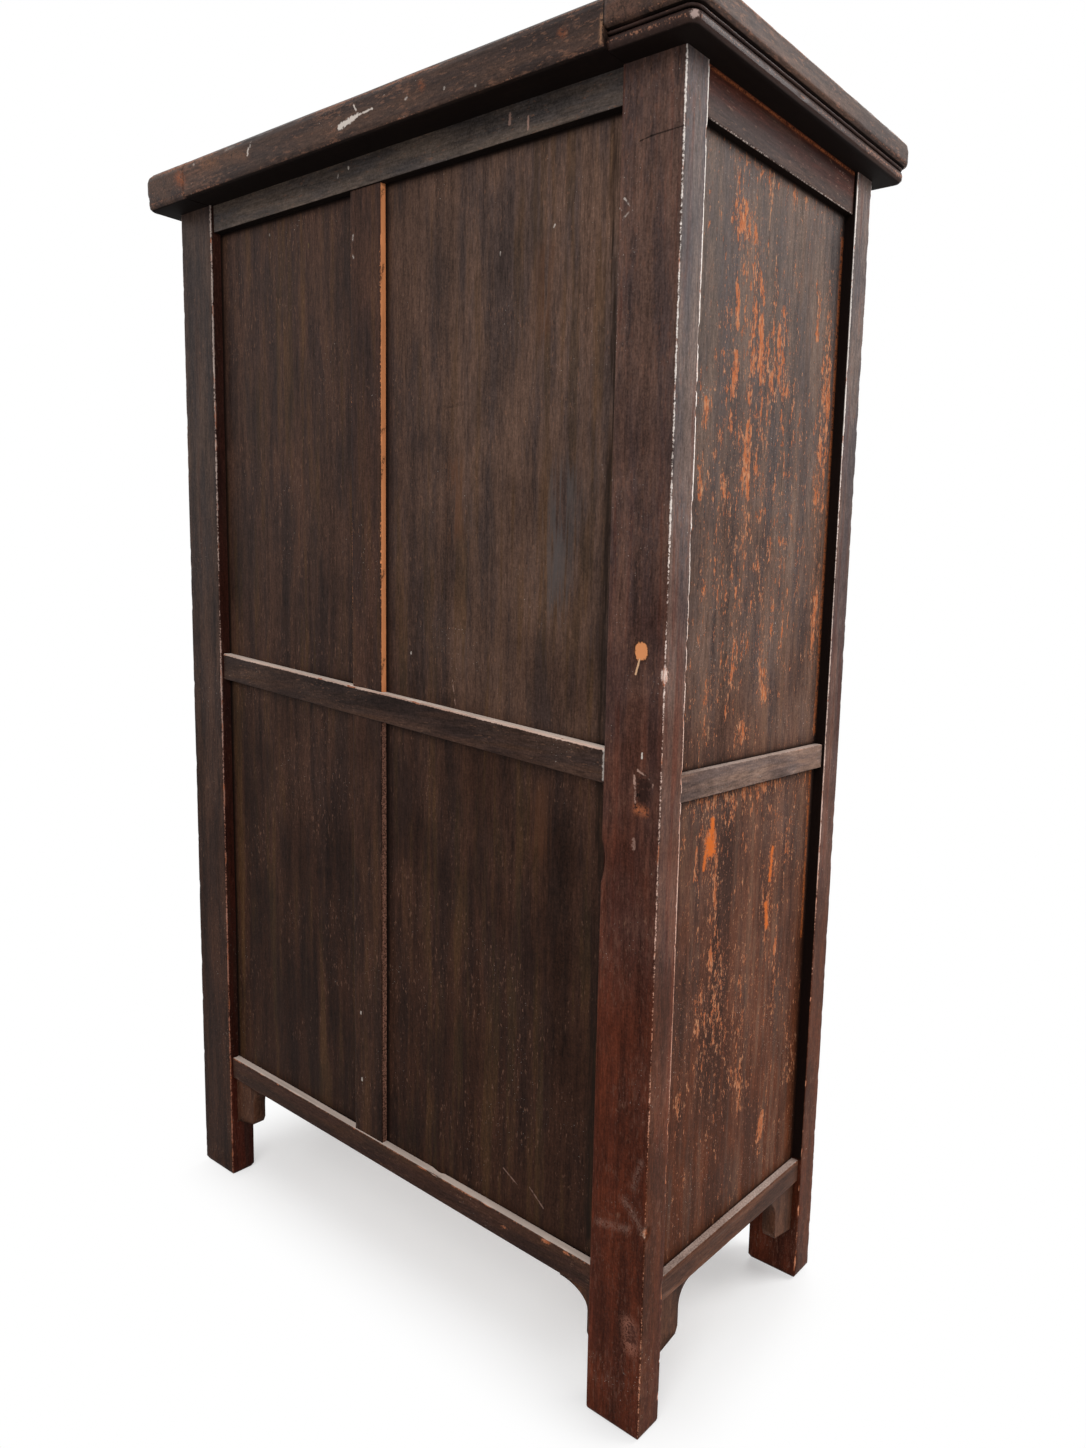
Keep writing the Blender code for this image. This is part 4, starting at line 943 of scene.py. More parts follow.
# The first is a painted shadow of the near back post on the panels beside it, and the grey one is a painted
# sheen; the brown streaks are stained lacquer.
BACK_PANEL_STAINS_AND_PAINTED_LIGHT = on_back(
    PANEL_FACE,
    (srgb(30, 21, 16), 0.85, 0.0110, 0.6, -X_IN + 0.0190, 0.2500, -X_IN + 0.0190, 1.7000),
    (GREY_SHEEN, 0.85, 0.0300, 0.9, -0.3380, 1.1300, -0.3470, 1.2700),
    (BROWN_STREAK, 0.6, 0.0200, 0.9, -0.1440, 1.2150, -0.1440, 1.3000),
    (BROWN_STREAK, 0.5, 0.0180, 0.9, -0.3110, 1.4700, -0.3110, 1.5650),
    (BROWN_STREAK, 0.5, 0.0220, 0.9, -0.3200, 0.7800, -0.3200, 0.8600),
    (BROWN_STREAK, 0.5, 0.0160, 0.9, 0.2300, 1.2000, 0.2300, 1.3400),
)
BACK_PANEL_STROKES = on_back(
    PANEL_FACE,
    (DARK, 0.6, 0.0030, 0.7, -0.1250, 1.3860, -0.1600, 1.3900),
    (PINK_PALE, 0.6, 0.0010, 0.5, -0.1400, 1.0010, -0.1470, 0.9650),
    (PALE, 0.6, 0.0014, 0.5, -0.0495, 1.0350, -0.0494, 1.0330),
    (PINK_PALE, 0.5, 0.0010, 0.5, -0.2590, 0.2840, -0.2880, 0.2690),
    (PINK_PALE, 0.45, 0.0010, 0.5, -0.3130, 0.2750, -0.3410, 0.2540),
    (PALE, 0.5, 0.0016, 0.6, 0.3013, 1.6860, 0.3010, 1.6840),
    (PINK_PALE, 0.5, 0.0012, 0.6, 0.2994, 1.6590, 0.2992, 1.6500),
    (srgb(150, 128, 74), 0.5, 0.0016, 0.6, 0.1966, 1.6550, 0.1968, 1.6500),
    (PALE, 0.6, 0.0012, 0.5, -0.3261, 1.5975, -0.3235, 1.5950),
    (PALE, 0.5, 0.0010, 0.5, -0.2279, 1.5790, -0.2278, 1.5750),
)
UPPER_HOLLOWS = [((-0.1420, PANEL_FACE, 1.3880), (0.022, 0.006, 0.005), 0.0014, 0.0)]
panel_finish = lacquer("back_panel_lacquer", "Z", *PANEL_TONES, PANEL_SHEEN_TONES, strokes=BACK_PANEL_STROKES,
                       stains_and_painted_light=BACK_PANEL_STAINS_AND_PAINTED_LIGHT)
panel_seed = 100
for level_name in ("upper", "lower"):
    for side_word in SIDES:
        # The upper panel on the left takes a painted sheen, and a dent.
        faded = (level_name, side_word) == ("upper", "left")
        make_panel(f"back_{level_name}_panel_{side_word}", "Y", panel_finish, seed=panel_seed,
                   hollows=UPPER_HOLLOWS if faded else (), fade=float(faded))
        panel_seed += 3
print("back panels", [name for name in made if "panel" in name])

# %% Side panels
# The greyer top tone is partly a painted sheen.
SIDE_TONES = (srgb(76, 40, 23), srgb(88, 75, 69), srgb(72, 54, 44))
# Across, height, half width, half height and amount of each flaking patch on the left wall
UPPER_FLAKES = [
    (0.078, 1.612, 0.030, 0.036, 0.80), (0.050, 1.560, 0.030, 0.050, 0.36),
    (0.040, 1.480, 0.040, 0.070, 0.42), (0.000, 1.430, 0.035, 0.060, 0.34),
    (0.105, 1.440, 0.024, 0.090, 0.35), (-0.045, 1.500, 0.024, 0.070, 0.26),
    (-0.160, 1.470, 0.018, 0.110, 0.70), (-0.158, 1.300, 0.020, 0.100, 0.55),
    (-0.165, 1.100, 0.018, 0.100, 0.70), (0.055, 1.300, 0.070, 0.100, 0.38),
    (-0.060, 1.300, 0.060, 0.110, 0.25), (0.110, 1.170, 0.060, 0.110, 0.36),
    (-0.020, 1.130, 0.060, 0.110, 0.36), (-0.028, 1.012, 0.016, 0.030, 0.70),
    (0.028, 0.950, 0.018, 0.024, 0.80), (0.110, 0.990, 0.040, 0.050, 0.45),
    (0.059, 1.045, 0.024, 0.034, 0.45), (-0.184, 0.960, 0.010, 0.030, 0.60),
    (0.0, 1.680, 0.180, 0.014, 0.45), (0.0, 1.300, 0.180, 0.400, 0.12),
]
LOWER_FLAKES = [
    (0.095, 0.800, 0.018, 0.040, 0.70), (0.080, 0.730, 0.016, 0.050, 0.50),
    (-0.075, 0.740, 0.014, 0.050, 0.70), (-0.110, 0.762, 0.014, 0.040, 0.60),
    (-0.070, 0.655, 0.014, 0.050, 0.75), (0.073, 0.653, 0.020, 0.050, 0.55),
    (-0.102, 0.520, 0.014, 0.060, 0.60), (0.090, 0.560, 0.050, 0.070, 0.40),
    (-0.080, 0.315, 0.012, 0.036, 0.80), (-0.010, 0.405, 0.016, 0.040, 0.60),
    (0.144, 0.455, 0.012, 0.030, 0.60), (-0.160, 0.400, 0.018, 0.070, 0.40),
    (0.030, 0.500, 0.070, 0.110, 0.30), (0.0, 0.862, 0.180, 0.016, 0.55), (0.0, 0.830, 0.160, 0.040, 0.35),
    (0.0, 0.550, 0.180, 0.300, 0.14),
]
# Amount, width, and the two ends of each flake
FLAKE_LINES = on_side(
    -X_OUT + PANEL_SETBACK,
    (0.7, 0.0050, 0.0816, 1.6290, 0.0680, 1.6080), (0.6, 0.0044, 0.0930, 1.6230, 0.0850, 1.6200),
    (0.8, 0.0070, 0.0610, 1.6060, 0.0540, 1.5980), (0.7, 0.0036, 0.0480, 1.5620, 0.0420, 1.5380),
    (0.9, 0.0036, 0.0371, 1.5655, 0.0226, 1.5233), (0.9, 0.0040, 0.0867, 1.5258, 0.0842, 1.4802),
    (0.9, 0.0050, 0.0206, 1.5024, 0.0342, 1.4569), (1.0, 0.0066, 0.0342, 1.4569, 0.0464, 1.3976),
    (0.9, 0.0056, 0.0825, 1.4443, 0.0840, 1.3987), (0.4, 0.0100, -0.0126, 1.4986, -0.0407, 1.4225),
    (1.0, 0.0044, -0.1293, 1.5691, -0.1266, 1.5068), (0.7, 0.0070, -0.1644, 1.4786, -0.1634, 1.3416),
    (1.0, 0.0048, 0.1467, 1.3784, 0.1507, 1.3474), (1.0, 0.0040, 0.1574, 1.2955, 0.1526, 1.2616),
    (0.7, 0.0060, 0.0464, 1.3580, 0.0473, 1.2484), (0.7, 0.0060, -0.1485, 1.3197, -0.1484, 1.2830),
    (0.8, 0.0048, 0.0290, 0.9600, 0.0275, 0.9380), (0.7, 0.0044, -0.0270, 1.0320, -0.0285, 0.9950),
    (0.7, 0.0034, 0.1180, 1.0250, 0.1190, 1.0000), (0.8, 0.0024, 0.0835, 0.7640, 0.0805, 0.7200),
    (0.9, 0.0042, 0.0800, 0.6480, 0.0815, 0.6230), (0.9, 0.0034, -0.1000, 0.6350, -0.0960, 0.5950),
    (1.0, 0.0042, -0.0840, 0.3370, -0.0713, 0.2980), (0.9, 0.0026, -0.0100, 0.4230, -0.0088, 0.3895),
    (0.8, 0.0030, 0.1280, 0.8000, 0.1300, 0.7600), (0.8, 0.0026, -0.1150, 0.7900, -0.1130, 0.7500),
)
SIDE_STROKES = on_side(
    -X_OUT + PANEL_SETBACK,
    (BRIGHT_ORANGE, 0.95, 0.0050, 0.45, 0.0915, 0.8340, 0.0935, 0.8120),
    (BRIGHT_ORANGE, 1.0, 0.0105, 0.40, 0.0960, 0.8030, 0.0930, 0.7940),
    (BRIGHT_ORANGE, 0.9, 0.0030, 0.5, 0.1060, 0.7950, 0.1090, 0.7700),
    (BRIGHT_ORANGE, 0.9, 0.0034, 0.5, -0.0746, 0.7640, -0.0703, 0.7159),
    (BRIGHT_ORANGE, 0.9, 0.0042, 0.5, -0.0620, 0.6800, -0.0680, 0.6450),
    (RAW_TAN, 0.85, 0.0016, 0.7, 0.0112, 1.6870, 0.0172, 1.6160),
    (RAW_TAN, 0.6, 0.0022, 0.6, 0.1110, 0.9650, 0.1115, 0.9450),
    (srgb(168, 92, 50), 0.9, 0.0042, 0.7, -0.1860, 1.6580, -0.1858, 1.3500),
    (srgb(168, 92, 50), 0.9, 0.0042, 0.7, -0.1858, 1.3500, -0.1845, 0.9300),
    (srgb(170, 90, 42), 0.9, 0.0036, 0.7, -0.1780, 0.8680, -0.1790, 0.6000),
)
side_finish = lacquer("side_panel_lacquer", "Z", *SIDE_TONES, flakes=FLAKE_LINES, strokes=SIDE_STROKES)
for side_word, side in SIDES.items():
    for level_name, patches in (("upper", UPPER_FLAKES), ("lower", LOWER_FLAKES)):
        placed = [(-side * across, *rest) for across, *rest in patches]
        make_panel(f"{side_word}_{level_name}_panel", "X", side_finish, seed=panel_seed,
                   flakes=placed, corner_grime=0.85)
        panel_seed += 3
print("panels", sum("panel" in name for name in made))

# %% [markdown]
# ## Side walls and front frame
# Each side has three rails, set 5 mm behind the posts. Their pale grey top tone is partly a painted sheen.
# The top rail is darker all over, a painted shadow of the overhanging top, and its upper strip has lost its
# dark coat and shows the red ground. The front, which faces away, has a rail above and one below the doors;
# they carry the sockets of the door pins and the two mortises of the centre stile, so those pockets are cut
# out of the boards with a Boolean.

# %% Side rails
SIDE_RAIL_X = (X_OUT - RAIL_SETBACK - RAIL_THICK, X_OUT - RAIL_SETBACK)
SIDE_RAILS = {"top": (1.6915, POST_TOP), "mid": (0.874, 0.911), "bottom": (0.177, 0.2145)}
# Their pale grey top tone is partly a painted sheen.
SIDE_RAIL_TONES = (srgb(84, 54, 40), srgb(140, 124, 116), srgb(96, 76, 66))
# Painted shadow of the overhanging top: the top rails are darker than the others.
SIDE_TOP_SHADED_TONES = (srgb(60, 45, 40), srgb(64, 49, 44), srgb(54, 39, 33))
RED_GROUND = srgb(60, 29, 21)
RED_FROM, RED_FULL = 1.7060, 1.7190
RED_EDGE = on_side(-SIDE_RAIL_X[1], (srgb(190, 108, 66), 0.8, 0.0022, 0.8, -0.1900, 1.7470, 0.1900, 1.7470))
side_rail_finish = lacquer("side_rail_lacquer", "Y", *SIDE_RAIL_TONES)
side_top_shaded_finish = lacquer("side_top_rail_shaded_lacquer", "Y", *SIDE_TOP_SHADED_TONES, (RED_GROUND, RED_GROUND),
                          strokes=RED_EDGE)
for side_word, side in SIDES.items():
    for number, (level_name, levels) in enumerate(SIDE_RAILS.items()):
        section = board_section([side * x for x in SIDE_RAIL_X], levels, 0.0020, 0.76)
        rail = draw_along(section, "Y", -Y_IN + POST_GAP, Y_IN - POST_GAP, *FINE, 0.001, end_wear=0.3)
        wear_down(rail, 200 + 10 * number + side, "Y", depth=0.0012, length=0.020, share=0.42)
        dust_and_shade(rail, 0.5, 0.9)
        finish = side_rail_finish
        if level_name == "top":
            rail.faded = 0.95 * ramp(rail.points[:, 2], RED_FROM, RED_FULL)
            finish = side_top_shaded_finish
        fit_piece(f"{side_word}_{level_name}_rail", [rail], finish)
print("side rails", 2 * len(SIDE_RAILS))

# %% Front rails with their pockets
PIVOT = (0.4285, -0.2205)
PIN_RADIUS, SOCKET_RADIUS = 0.0070, 0.0076
DOOR_LOW, DOOR_HIGH = 0.2170, 1.6875
TONGUE_X, TONGUE_Y = 0.014, 0.007
CENTRE_FOOT, CENTRE_HEAD = 0.2148, 1.6810
POCKET_PLAY = 0.0005


def round_section(centre, radius, steps=24, wear=0.0):
    angles = [2 * math.pi * step / steps for step in range(steps)]
    return [(centre[0] + radius * math.cos(a), centre[1] + radius * math.sin(a), 0.0, wear) for a in angles]


def pocket(section, low, high):
    return draw_along(section, "Z", low, high, 0.05, 1.0, 0.00001)


def front_pockets(pin_levels, tongue_levels):
    half_x, half_y = TONGUE_X + POCKET_PLAY, TONGUE_Y + POCKET_PLAY
    tongue = board_section((-half_x, half_x), (PIVOT[1] - half_y, PIVOT[1] + half_y), 0.0, 0.0)
    pockets = [pocket(round_section((side * PIVOT[0], PIVOT[1]), SOCKET_RADIUS), *pin_levels)
               for side in SIDES.values()]
    return pockets + [pocket(tongue, *tongue_levels)]


# Depths, levels, and levels of the pin sockets and of the tongue's mortise
FRONT_RAILS = {
    "front_top_rail": ((-0.2315, -0.1915), (1.690, POST_TOP), (1.680, 1.7100), (1.680, 1.7090)),
    "front_bottom_rail": ((-0.2315, -0.1815), (0.170, 0.2145), (0.2005, 0.2245), (0.2073, 0.2245)),
}
for number, (node_name, (depths, levels, pins, tongues)) in enumerate(FRONT_RAILS.items()):
    section = board_section(depths, levels, 0.0022, 0.9)
    rail = draw_along(section, "X", -RAIL_END, RAIL_END, *MIDDLING, 0.001, end_wear=0.3)
    wear_down(rail, 260 + 10 * number, "X", depth=0.0012, length=0.022, share=0.45)
    dust_and_shade(rail, 0.4, 0.6)
    fit_piece(node_name, [rail], rail_finish, pockets=front_pockets(pins, tongues))
print("rails", [name for name in made if "rail" in name])

# %% [markdown]
# ## Floor, shelf and brackets
# The floor board and the shelf are notched round the posts, so their sections are walked in plan and drawn up
# by the thickness of the board. A bracket hangs in each corner under the bottom rails: a thin cut-out board
# with a curved inner edge that ends in a small step. The near back one is slim, because the picture shows
# almost none of it beside its post.

# %% Inside boards
BOARD_PLAY, BOARD_THICK = 0.0005, 0.018
POST_X, POST_Y, PANEL_X = X_IN - BOARD_PLAY, Y_IN - BOARD_PLAY, 0.5110
BOARD_FRONT, BOARD_BACK = -0.2068, 0.2010
BEARER_BACK, BEARER_LEVELS = -0.1908, (0.871, 0.911)
half_plan = [(POST_X, BOARD_FRONT), (POST_X, -POST_Y), (PANEL_X, -POST_Y),
             (PANEL_X, POST_Y), (POST_X, POST_Y), (POST_X, BOARD_BACK)]
board_plan = [(x, y, 0.0, 0.6) for x, y in half_plan + [(-x, y) for x, y in reversed(half_plan)]]
for node_name, low in (("floor_board", 0.2148), ("shelf_board", 0.9113)):
    board = draw_along(board_plan, "Z", low, low + BOARD_THICK, 0.012, 0.006, 0.0012)
    fit_piece(node_name, [board], board_finish)
bearer_section = board_section((BOARD_FRONT, BEARER_BACK), BEARER_LEVELS, 0.002)
bearer = draw_along(bearer_section, "X", -RAIL_END, RAIL_END, *MIDDLING)
wear_down(bearer, 290, "X", depth=0.0008)
fit_piece("shelf_front_bearer", [bearer], board_finish)
print("boards", [name for name in made if "board" in name or "bearer" in name])

# %% Brackets
# Reach along the rail, and width of the blade down the post
WIDE, SLIM = (0.085, 0.057), (0.065, 0.012)
DROP, LIP, CURVE, STEP = 0.089, 0.008, 0.030, 0.010
CURVE_STEPS = 8
BRACKET_BACK, BRACKET_FACE = 0.036, 0.012
LOW_RAILS = {"front": (0.170, 0.0), "back": (0.1875, BOTTOM_RISE)}
bracket_finish = lacquer("bracket_lacquer", "Z", srgb(76, 50, 38), srgb(84, 66, 58), srgb(58, 40, 30))


def bracket_outline(rail_low, reach, blade, climb=0.0):
    """Distances from the post and heights; the rail above may climb away from the post."""
    top = rail_low - POST_GAP
    bend, foot = top + climb * reach - LIP - CURVE, top - DROP
    points = [(POST_GAP, top), (reach, top + climb * reach)]
    for step in range(CURVE_STEPS + 1):
        angle = math.pi / 2 * (1 + step / CURVE_STEPS)
        points.append((reach + math.cos(angle) * (reach - blade), bend + math.sin(angle) * CURVE))
    return points + [(blade, foot + 2 * STEP), (blade - STEP / 2, foot + STEP), (POST_GAP, foot)]


def make_bracket(node, corners, axis, limits, seed):
    section = [(*corner, 0.0, 0.5) for corner in corners]
    skin = draw_along(section, axis, *sorted(limits), 0.006, 0.004, 0.0018, end_wear=0.4)
    wear_down(skin, seed, "Z", depth=0.0010, length=0.012, share=0.45, sag=0.0)
    dust_and_shade(skin, 0.2, 0.6)
    fit_piece(node, [skin], bracket_finish)


for side_word, side in SIDES.items():
    for end_word, end in ENDS.items():
        rail_low, rise = LOW_RAILS[end_word]
        widths = SLIM if (end_word, side_word) == ("back", "left") else WIDE
        outline = bracket_outline(rail_low + rise * side * X_IN, *widths, -rise * side)
        outline = [(side * (X_IN - reach), z) for reach, z in outline]
        make_bracket(f"{end_word}_bracket_{side_word}", outline, "Y",
                     (end * (Y_OUT - BRACKET_BACK), end * (Y_OUT - BRACKET_FACE)), 310 + 3 * side + end)
        outline = bracket_outline(SIDE_RAILS["bottom"][0], *WIDE)
        outline = [(end * (Y_IN - reach), z) for reach, z in outline]
        make_bracket(f"{side_word}_bracket_{end_word}", outline, "X",
                     (side * (X_OUT - BRACKET_BACK), side * (X_OUT - BRACKET_FACE)), 330 + 3 * side + end)
print("brackets", sum("bracket" in name for name in made))

# %% [markdown]
# ## Top
# The top is a frame too: two end members run from front to back, and a moulded nose with a groove and a bead
# is worked round their three outer edges. Between them sit a moulded front member and a plain back member,
# whose joint shows as a crack near the corner. The moulding is a list of setbacks and heights. For the end
# members each setback moves the outline inwards by that much, which keeps the bead even round the corner. The
# right end turns from the moulding to the plain edge at its back corner.

# %% Moulding and end members
(_, _, TOP_LOW), (TOP_X, TOP_Y, TOP_HIGH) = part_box("top_end_right")
MEMBER_WIDTH = 0.131
TOP_X_IN, TOP_Y_IN = TOP_X - MEMBER_WIDTH, TOP_Y - MEMBER_WIDTH
TOP_CORNER = 0.022
GROOVES, GROOVE_HALF = (0.0159, 0.0210), 0.0010
# Setback from the nose, height above the underside, and how much the wear likes it there
MOULDING = [
    (0.0160, 0.0000, 0.1), (0.0110, 0.0008, 0.2), (0.0075, 0.0035, 0.6), (0.0065, 0.0085, 0.74),
    (0.0075, 0.0130, 0.5), (0.0105, 0.0150, 0.1), (0.0130, GROOVES[0], 0.0), (0.0085, 0.0170, 0.2),
    (0.0070, 0.0184, 0.7), (0.0080, 0.0198, 0.2), (0.0115, GROOVES[1], 0.0), (0.0040, 0.0222, 0.3),
    (0.0008, 0.0245, 0.72), (0.0000, 0.0285, 0.4), (0.0000, 0.0430, 0.4), (0.0020, 0.0505, 0.74),
    (0.0065, 0.0555, 0.8), (0.0130, 0.0580, 0.6),
]
PLAIN_EDGE = [
    (0.0060, 0.0000, 0.3), (0.0015, 0.0030, 0.7), (0.0000, 0.0090, 0.4), (0.0000, 0.0450, 0.4),
    (0.0025, 0.0525, 0.78), (0.0080, 0.0580, 0.6),
]
TOP_TONES = (srgb(70, 55, 49), srgb(70, 55, 49), srgb(52, 37, 30))
# Painted sheen: slightly paler tones for the ends of the top.
TOP_SHEEN_TONES = (srgb(76, 60, 53), srgb(76, 60, 53))
TOP_MOTTLE = (0.55, srgb(128, 92, 74))
# The last stroke, at the near corner of the bead, is a painted glint; the others are scuffs, worn patches and
# a crack.
TOP_STROKES_AND_GLINT = on_back(
    TOP_Y,
    (PALE, 1.0, 0.0040, 0.3, 0.0340, 1.7700, 0.0060, 1.7745),
    (PALE, 1.0, 0.0028, 0.4, 0.0060, 1.7745, -0.0050, 1.7765),
    (PALE, 0.9, 0.0013, 0.4, -0.0050, 1.7765, -0.0390, 1.7780),
    (PALE, 0.9, 0.0014, 0.4, 0.0020, 1.7920, -0.0030, 1.7840),
    (PALE, 0.9, 0.0016, 0.5, 0.2631, 1.7790, 0.2600, 1.7880),
    (PALE, 0.85, 0.0016, 0.6, 0.2560, 1.7890, 0.2530, 1.7960),
    (PALE, 0.7, 0.0024, 0.6, 0.3000, 1.8010, 0.3250, 1.7990),
    (PALE, 0.8, 0.0020, 0.6, 0.4180, 1.7960, 0.4160, 1.7950),
    (RAW_ORANGE, 0.85, 0.0110, 0.8, 0.4640, 1.7850, 0.4540, 1.7780),
    (srgb(140, 96, 66), 0.6, 0.0100, 0.9, 0.3900, 1.7930, 0.3500, 1.7850),
    (srgb(134, 94, 70), 0.55, 0.0100, 0.9, 0.3240, 1.7900, 0.2680, 1.7800),
    (RAW_ORANGE, 0.5, 0.0050, 0.9, -0.1376, 1.7860, -0.1420, 1.7810),
    (PALE, 0.8, 0.0018, 0.6, -0.1110, 1.7750, -0.1080, 1.7740),
    (PALE, 0.8, 0.0016, 0.6, -0.2415, 1.7600, -0.2414, 1.7590),
    (PALE, 0.8, 0.0018, 0.6, -0.1841, 1.7700, -0.1840, 1.7690),
    (RAW_ORANGE, 0.5, 0.0050, 0.9, -0.3840, 1.7830, -0.3900, 1.7800),
    (RAW_TAN, 0.7, 0.0026, 0.8, -0.4470, 1.7850, -0.4460, 1.7560),
    (srgb(126, 90, 76), 0.5, 0.0120, 0.9, -0.4650, 1.7900, -0.4900, 1.7800),
    (DARK, 1.0, 0.0012, 0.4, -TOP_X_IN, 1.8080, -TOP_X_IN, 1.7500),
) + [(srgb(190, 166, 158), 0.7, 0.0035, 0.5, (-0.5695, 0.2685, 1.7605), (-0.5695, 0.2685, 1.7575))]
TOP_CHIPS = (srgb(150, 104, 82), srgb(150, 104, 82))
TOP_RAW = srgb(152, 92, 60)
top_finish = {grain: lacquer(f"top_lacquer_{grain}", grain, *TOP_TONES, TOP_SHEEN_TONES, mottle=TOP_MOTTLE,
                             strokes=TOP_STROKES_AND_GLINT, chips=TOP_CHIPS, raw=TOP_RAW, shine=0.07)
              for grain in "XY"}
PROFILE_STEP, OUTLINE_STEP = 0.0025, 0.005
BEND_STEPS, INNER_STEPS = 8, 15


def between(start, end, steps):
    """Points in equal steps from start towards end, without the end itself."""
    return [tuple(a + (b - a) * k / steps for a, b in zip(start, end)) for k in range(steps)]


def fill_profile(profile):
    """More points along a profile, in straight steps."""
    filled = []
    for before, after in zip(profile, profile[1:]):
        filled += between(before, after, max(1, math.ceil(math.dist(before[:2], after[:2]) / PROFILE_STEP)))
    return filled + [profile[-1]]


def end_outline():
    """Outer edge of the end member on the right: points, normals, and how much each belongs to the back."""
    x, y, r = TOP_X, TOP_Y, TOP_CORNER

    def run(start, end, facing, back):
        points = between(start, end, max(1, round(math.dist(start, end) / OUTLINE_STEP)))
        return [(point, facing, back) for point in points]

    def bend(sign):
        turns = [k / BEND_STEPS for k in range(BEND_STEPS + 1)]
        facings = [(math.cos(a), math.sin(a)) for a in (math.pi / 2 * (turn - (sign < 0)) for turn in turns)]
        return [((x - r + r * nx, sign * (y - r) + r * ny), (nx, ny), turn * (sign > 0))
                for turn, (nx, ny) in zip(turns, facings)]

    outline = run((TOP_X_IN, -y), (x - r, -y), (0.0, -1.0), 0.0) + bend(-1)
    outline += run((x, r - y), (x, y - r), (1.0, 0.0), 0.0)[1:] + bend(1)
    outline += run((x - r, y), (TOP_X_IN, y), (0.0, 1.0), 1.0)[1:] + [((TOP_X_IN, y), (0.0, 1.0), 1.0)]
    return [np.array(column) for column in zip(*outline)]


END_POINTS, END_FACING, END_BACK = end_outline()


def end_plan(inset, back_inset):
    """Plan of an end member on the right, shrunk by inset, and by back_inset along its back edge."""
    plan = END_POINTS - END_FACING * (inset + (back_inset - inset) * END_BACK)[:, None]
    inner = [(TOP_X_IN, (TOP_Y - (back_inset if k < INNER_STEPS else inset)) * (1 - k / INNER_STEPS))
             for k in range(1, 2 * INNER_STEPS)]
    return np.concatenate([plan, inner]), np.concatenate([END_FACING, [(-1.0, 0.0)] * len(inner)])


def make_top_end(side_name, side):
    profile = fill_profile(MOULDING)
    plain_insets, plain_heights, _ = zip(*PLAIN_EDGE)
    points, normals, edge = [], [], []
    for inset, height, likes in profile:
        plan, facing = end_plan(inset, inset if side < 0 else np.interp(height, plain_heights, plain_insets))
        points += [(side * px, py, TOP_LOW + height) for px, py in plan]
        normals += [(side * nx, ny, 0.0) for nx, ny in facing]
        edge += [likes if nx > -0.5 else 0.0 for nx, _ in facing]
    quads, caps = ring_faces(len(profile), len(points) // len(profile), flipped=side < 0)
    skin = Skin(np.array(points), np.array(normals), quads, caps, np.array(edge))
    wear_down(skin, 400 + side, "Y", depth=0.0016, length=0.020, share=0.46, sag=0.0006)
    rise = skin.points[:, 2] - TOP_LOW
    moulded = (side < 0) | (skin.normals[:, 1] < 0.5)
    in_groove = (np.abs(rise[:, None] - GROOVES) < GROOVE_HALF).any(axis=1)
    # Painted shade on the underside and in the grooves of the moulding.
    skin.grime = np.maximum(ramp(rise, 0.0012, 0.0006), 0.9 * moulded * in_groove)
    # Painted sheen on the faces that look out to the ends.
    skin.faded = ramp(side * skin.normals[:, 0], 0.5, 0.9)
    skin.sleek = moulded * (rise < GROOVES[1])
    fit_piece(f"top_end_{side_name}", [skin], top_finish["Y"])


for side_word, side in SIDES.items():
    make_top_end(side_word, side)
print("top ends", [name for name in made if name.startswith("top_end")])

# %% Front and back members, and the top panel
MEMBER_GAP = 0.0008


def make_top_member(node, end, profile, seed):
    corners = [(end * TOP_Y_IN, TOP_LOW, 0.0, 0.0)]
    corners += [(end * (TOP_Y - inset), TOP_LOW + height, 0.0, likes)
                for inset, height, likes in fill_profile(profile)]
    corners += [(end * TOP_Y_IN, TOP_HIGH, 0.0, 0.4)]
    half = TOP_X_IN - MEMBER_GAP
    skin = draw_along(corners, "X", -half, half, 0.012, 0.0045, 0.0009, end_wear=0.6)
    wear_down(skin, seed, "X", depth=0.0018, length=0.026, share=0.46, sag=0.0009)
    dust_and_shade(skin, 0.0, 1.0)
    fit_piece(node, [skin], top_finish["X"])


make_top_member("top_front_member", -1, MOULDING, 420)
make_top_member("top_back_member", 1, PLAIN_EDGE, 430)

low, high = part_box("top_panel")
lid_section = board_section((low[1], high[1]), (low[2], high[2]), 0.001, 0.0)
lid = draw_along(lid_section, "X", low[0], high[0], 0.012, 0.012)
wear_down(lid, 440, "X", depth=0.0, sag=0.0008)
dust_and_shade(lid, 0.45, 1.0)
fit_piece("top_panel", [lid], rail_finish)
print("top", {name: count for name, count in made.items() if name.startswith("top")})

# %% [markdown]
# ## Doors and centre stile
# The doors are on the front, away from the camera. Each is a frame and panel whose outer stile is half round
# about the axis of two wooden pins, so that it can turn against the post. The centre stile stands loose
# between the doors on a short tongue, and a long tongue above lets it be lifted out.

# %% Doors
DOOR_TONES = (srgb(92, 40, 29), srgb(92, 46, 37), srgb(70, 28, 20))
door_finish = {grain: lacquer(f"door_lacquer_{grain}", grain, *DOOR_TONES, rub=0.5) for grain in "XZ"}
DOOR_Y = (-0.2335, -0.2075)
HINGE_IN, LOCK_IN, LOCK_OUT = 0.3815, 0.0245, 0.0845
DOOR_HALF = (DOOR_Y[1] - DOOR_Y[0]) / 2
DOOR_RAILS = {"top": (1.6225, DOOR_HIGH), "bottom": (DOOR_LOW, 0.2920)}
RAIL_PLAY = 0.0003
PIN_LENGTH, STUB_ROOT = 0.0145, 0.003
LOW_TONGUE, HIGH_TONGUE = 0.0068, 0.0188
CENTRE_HALF = 0.023
HINGE_STEPS = 12


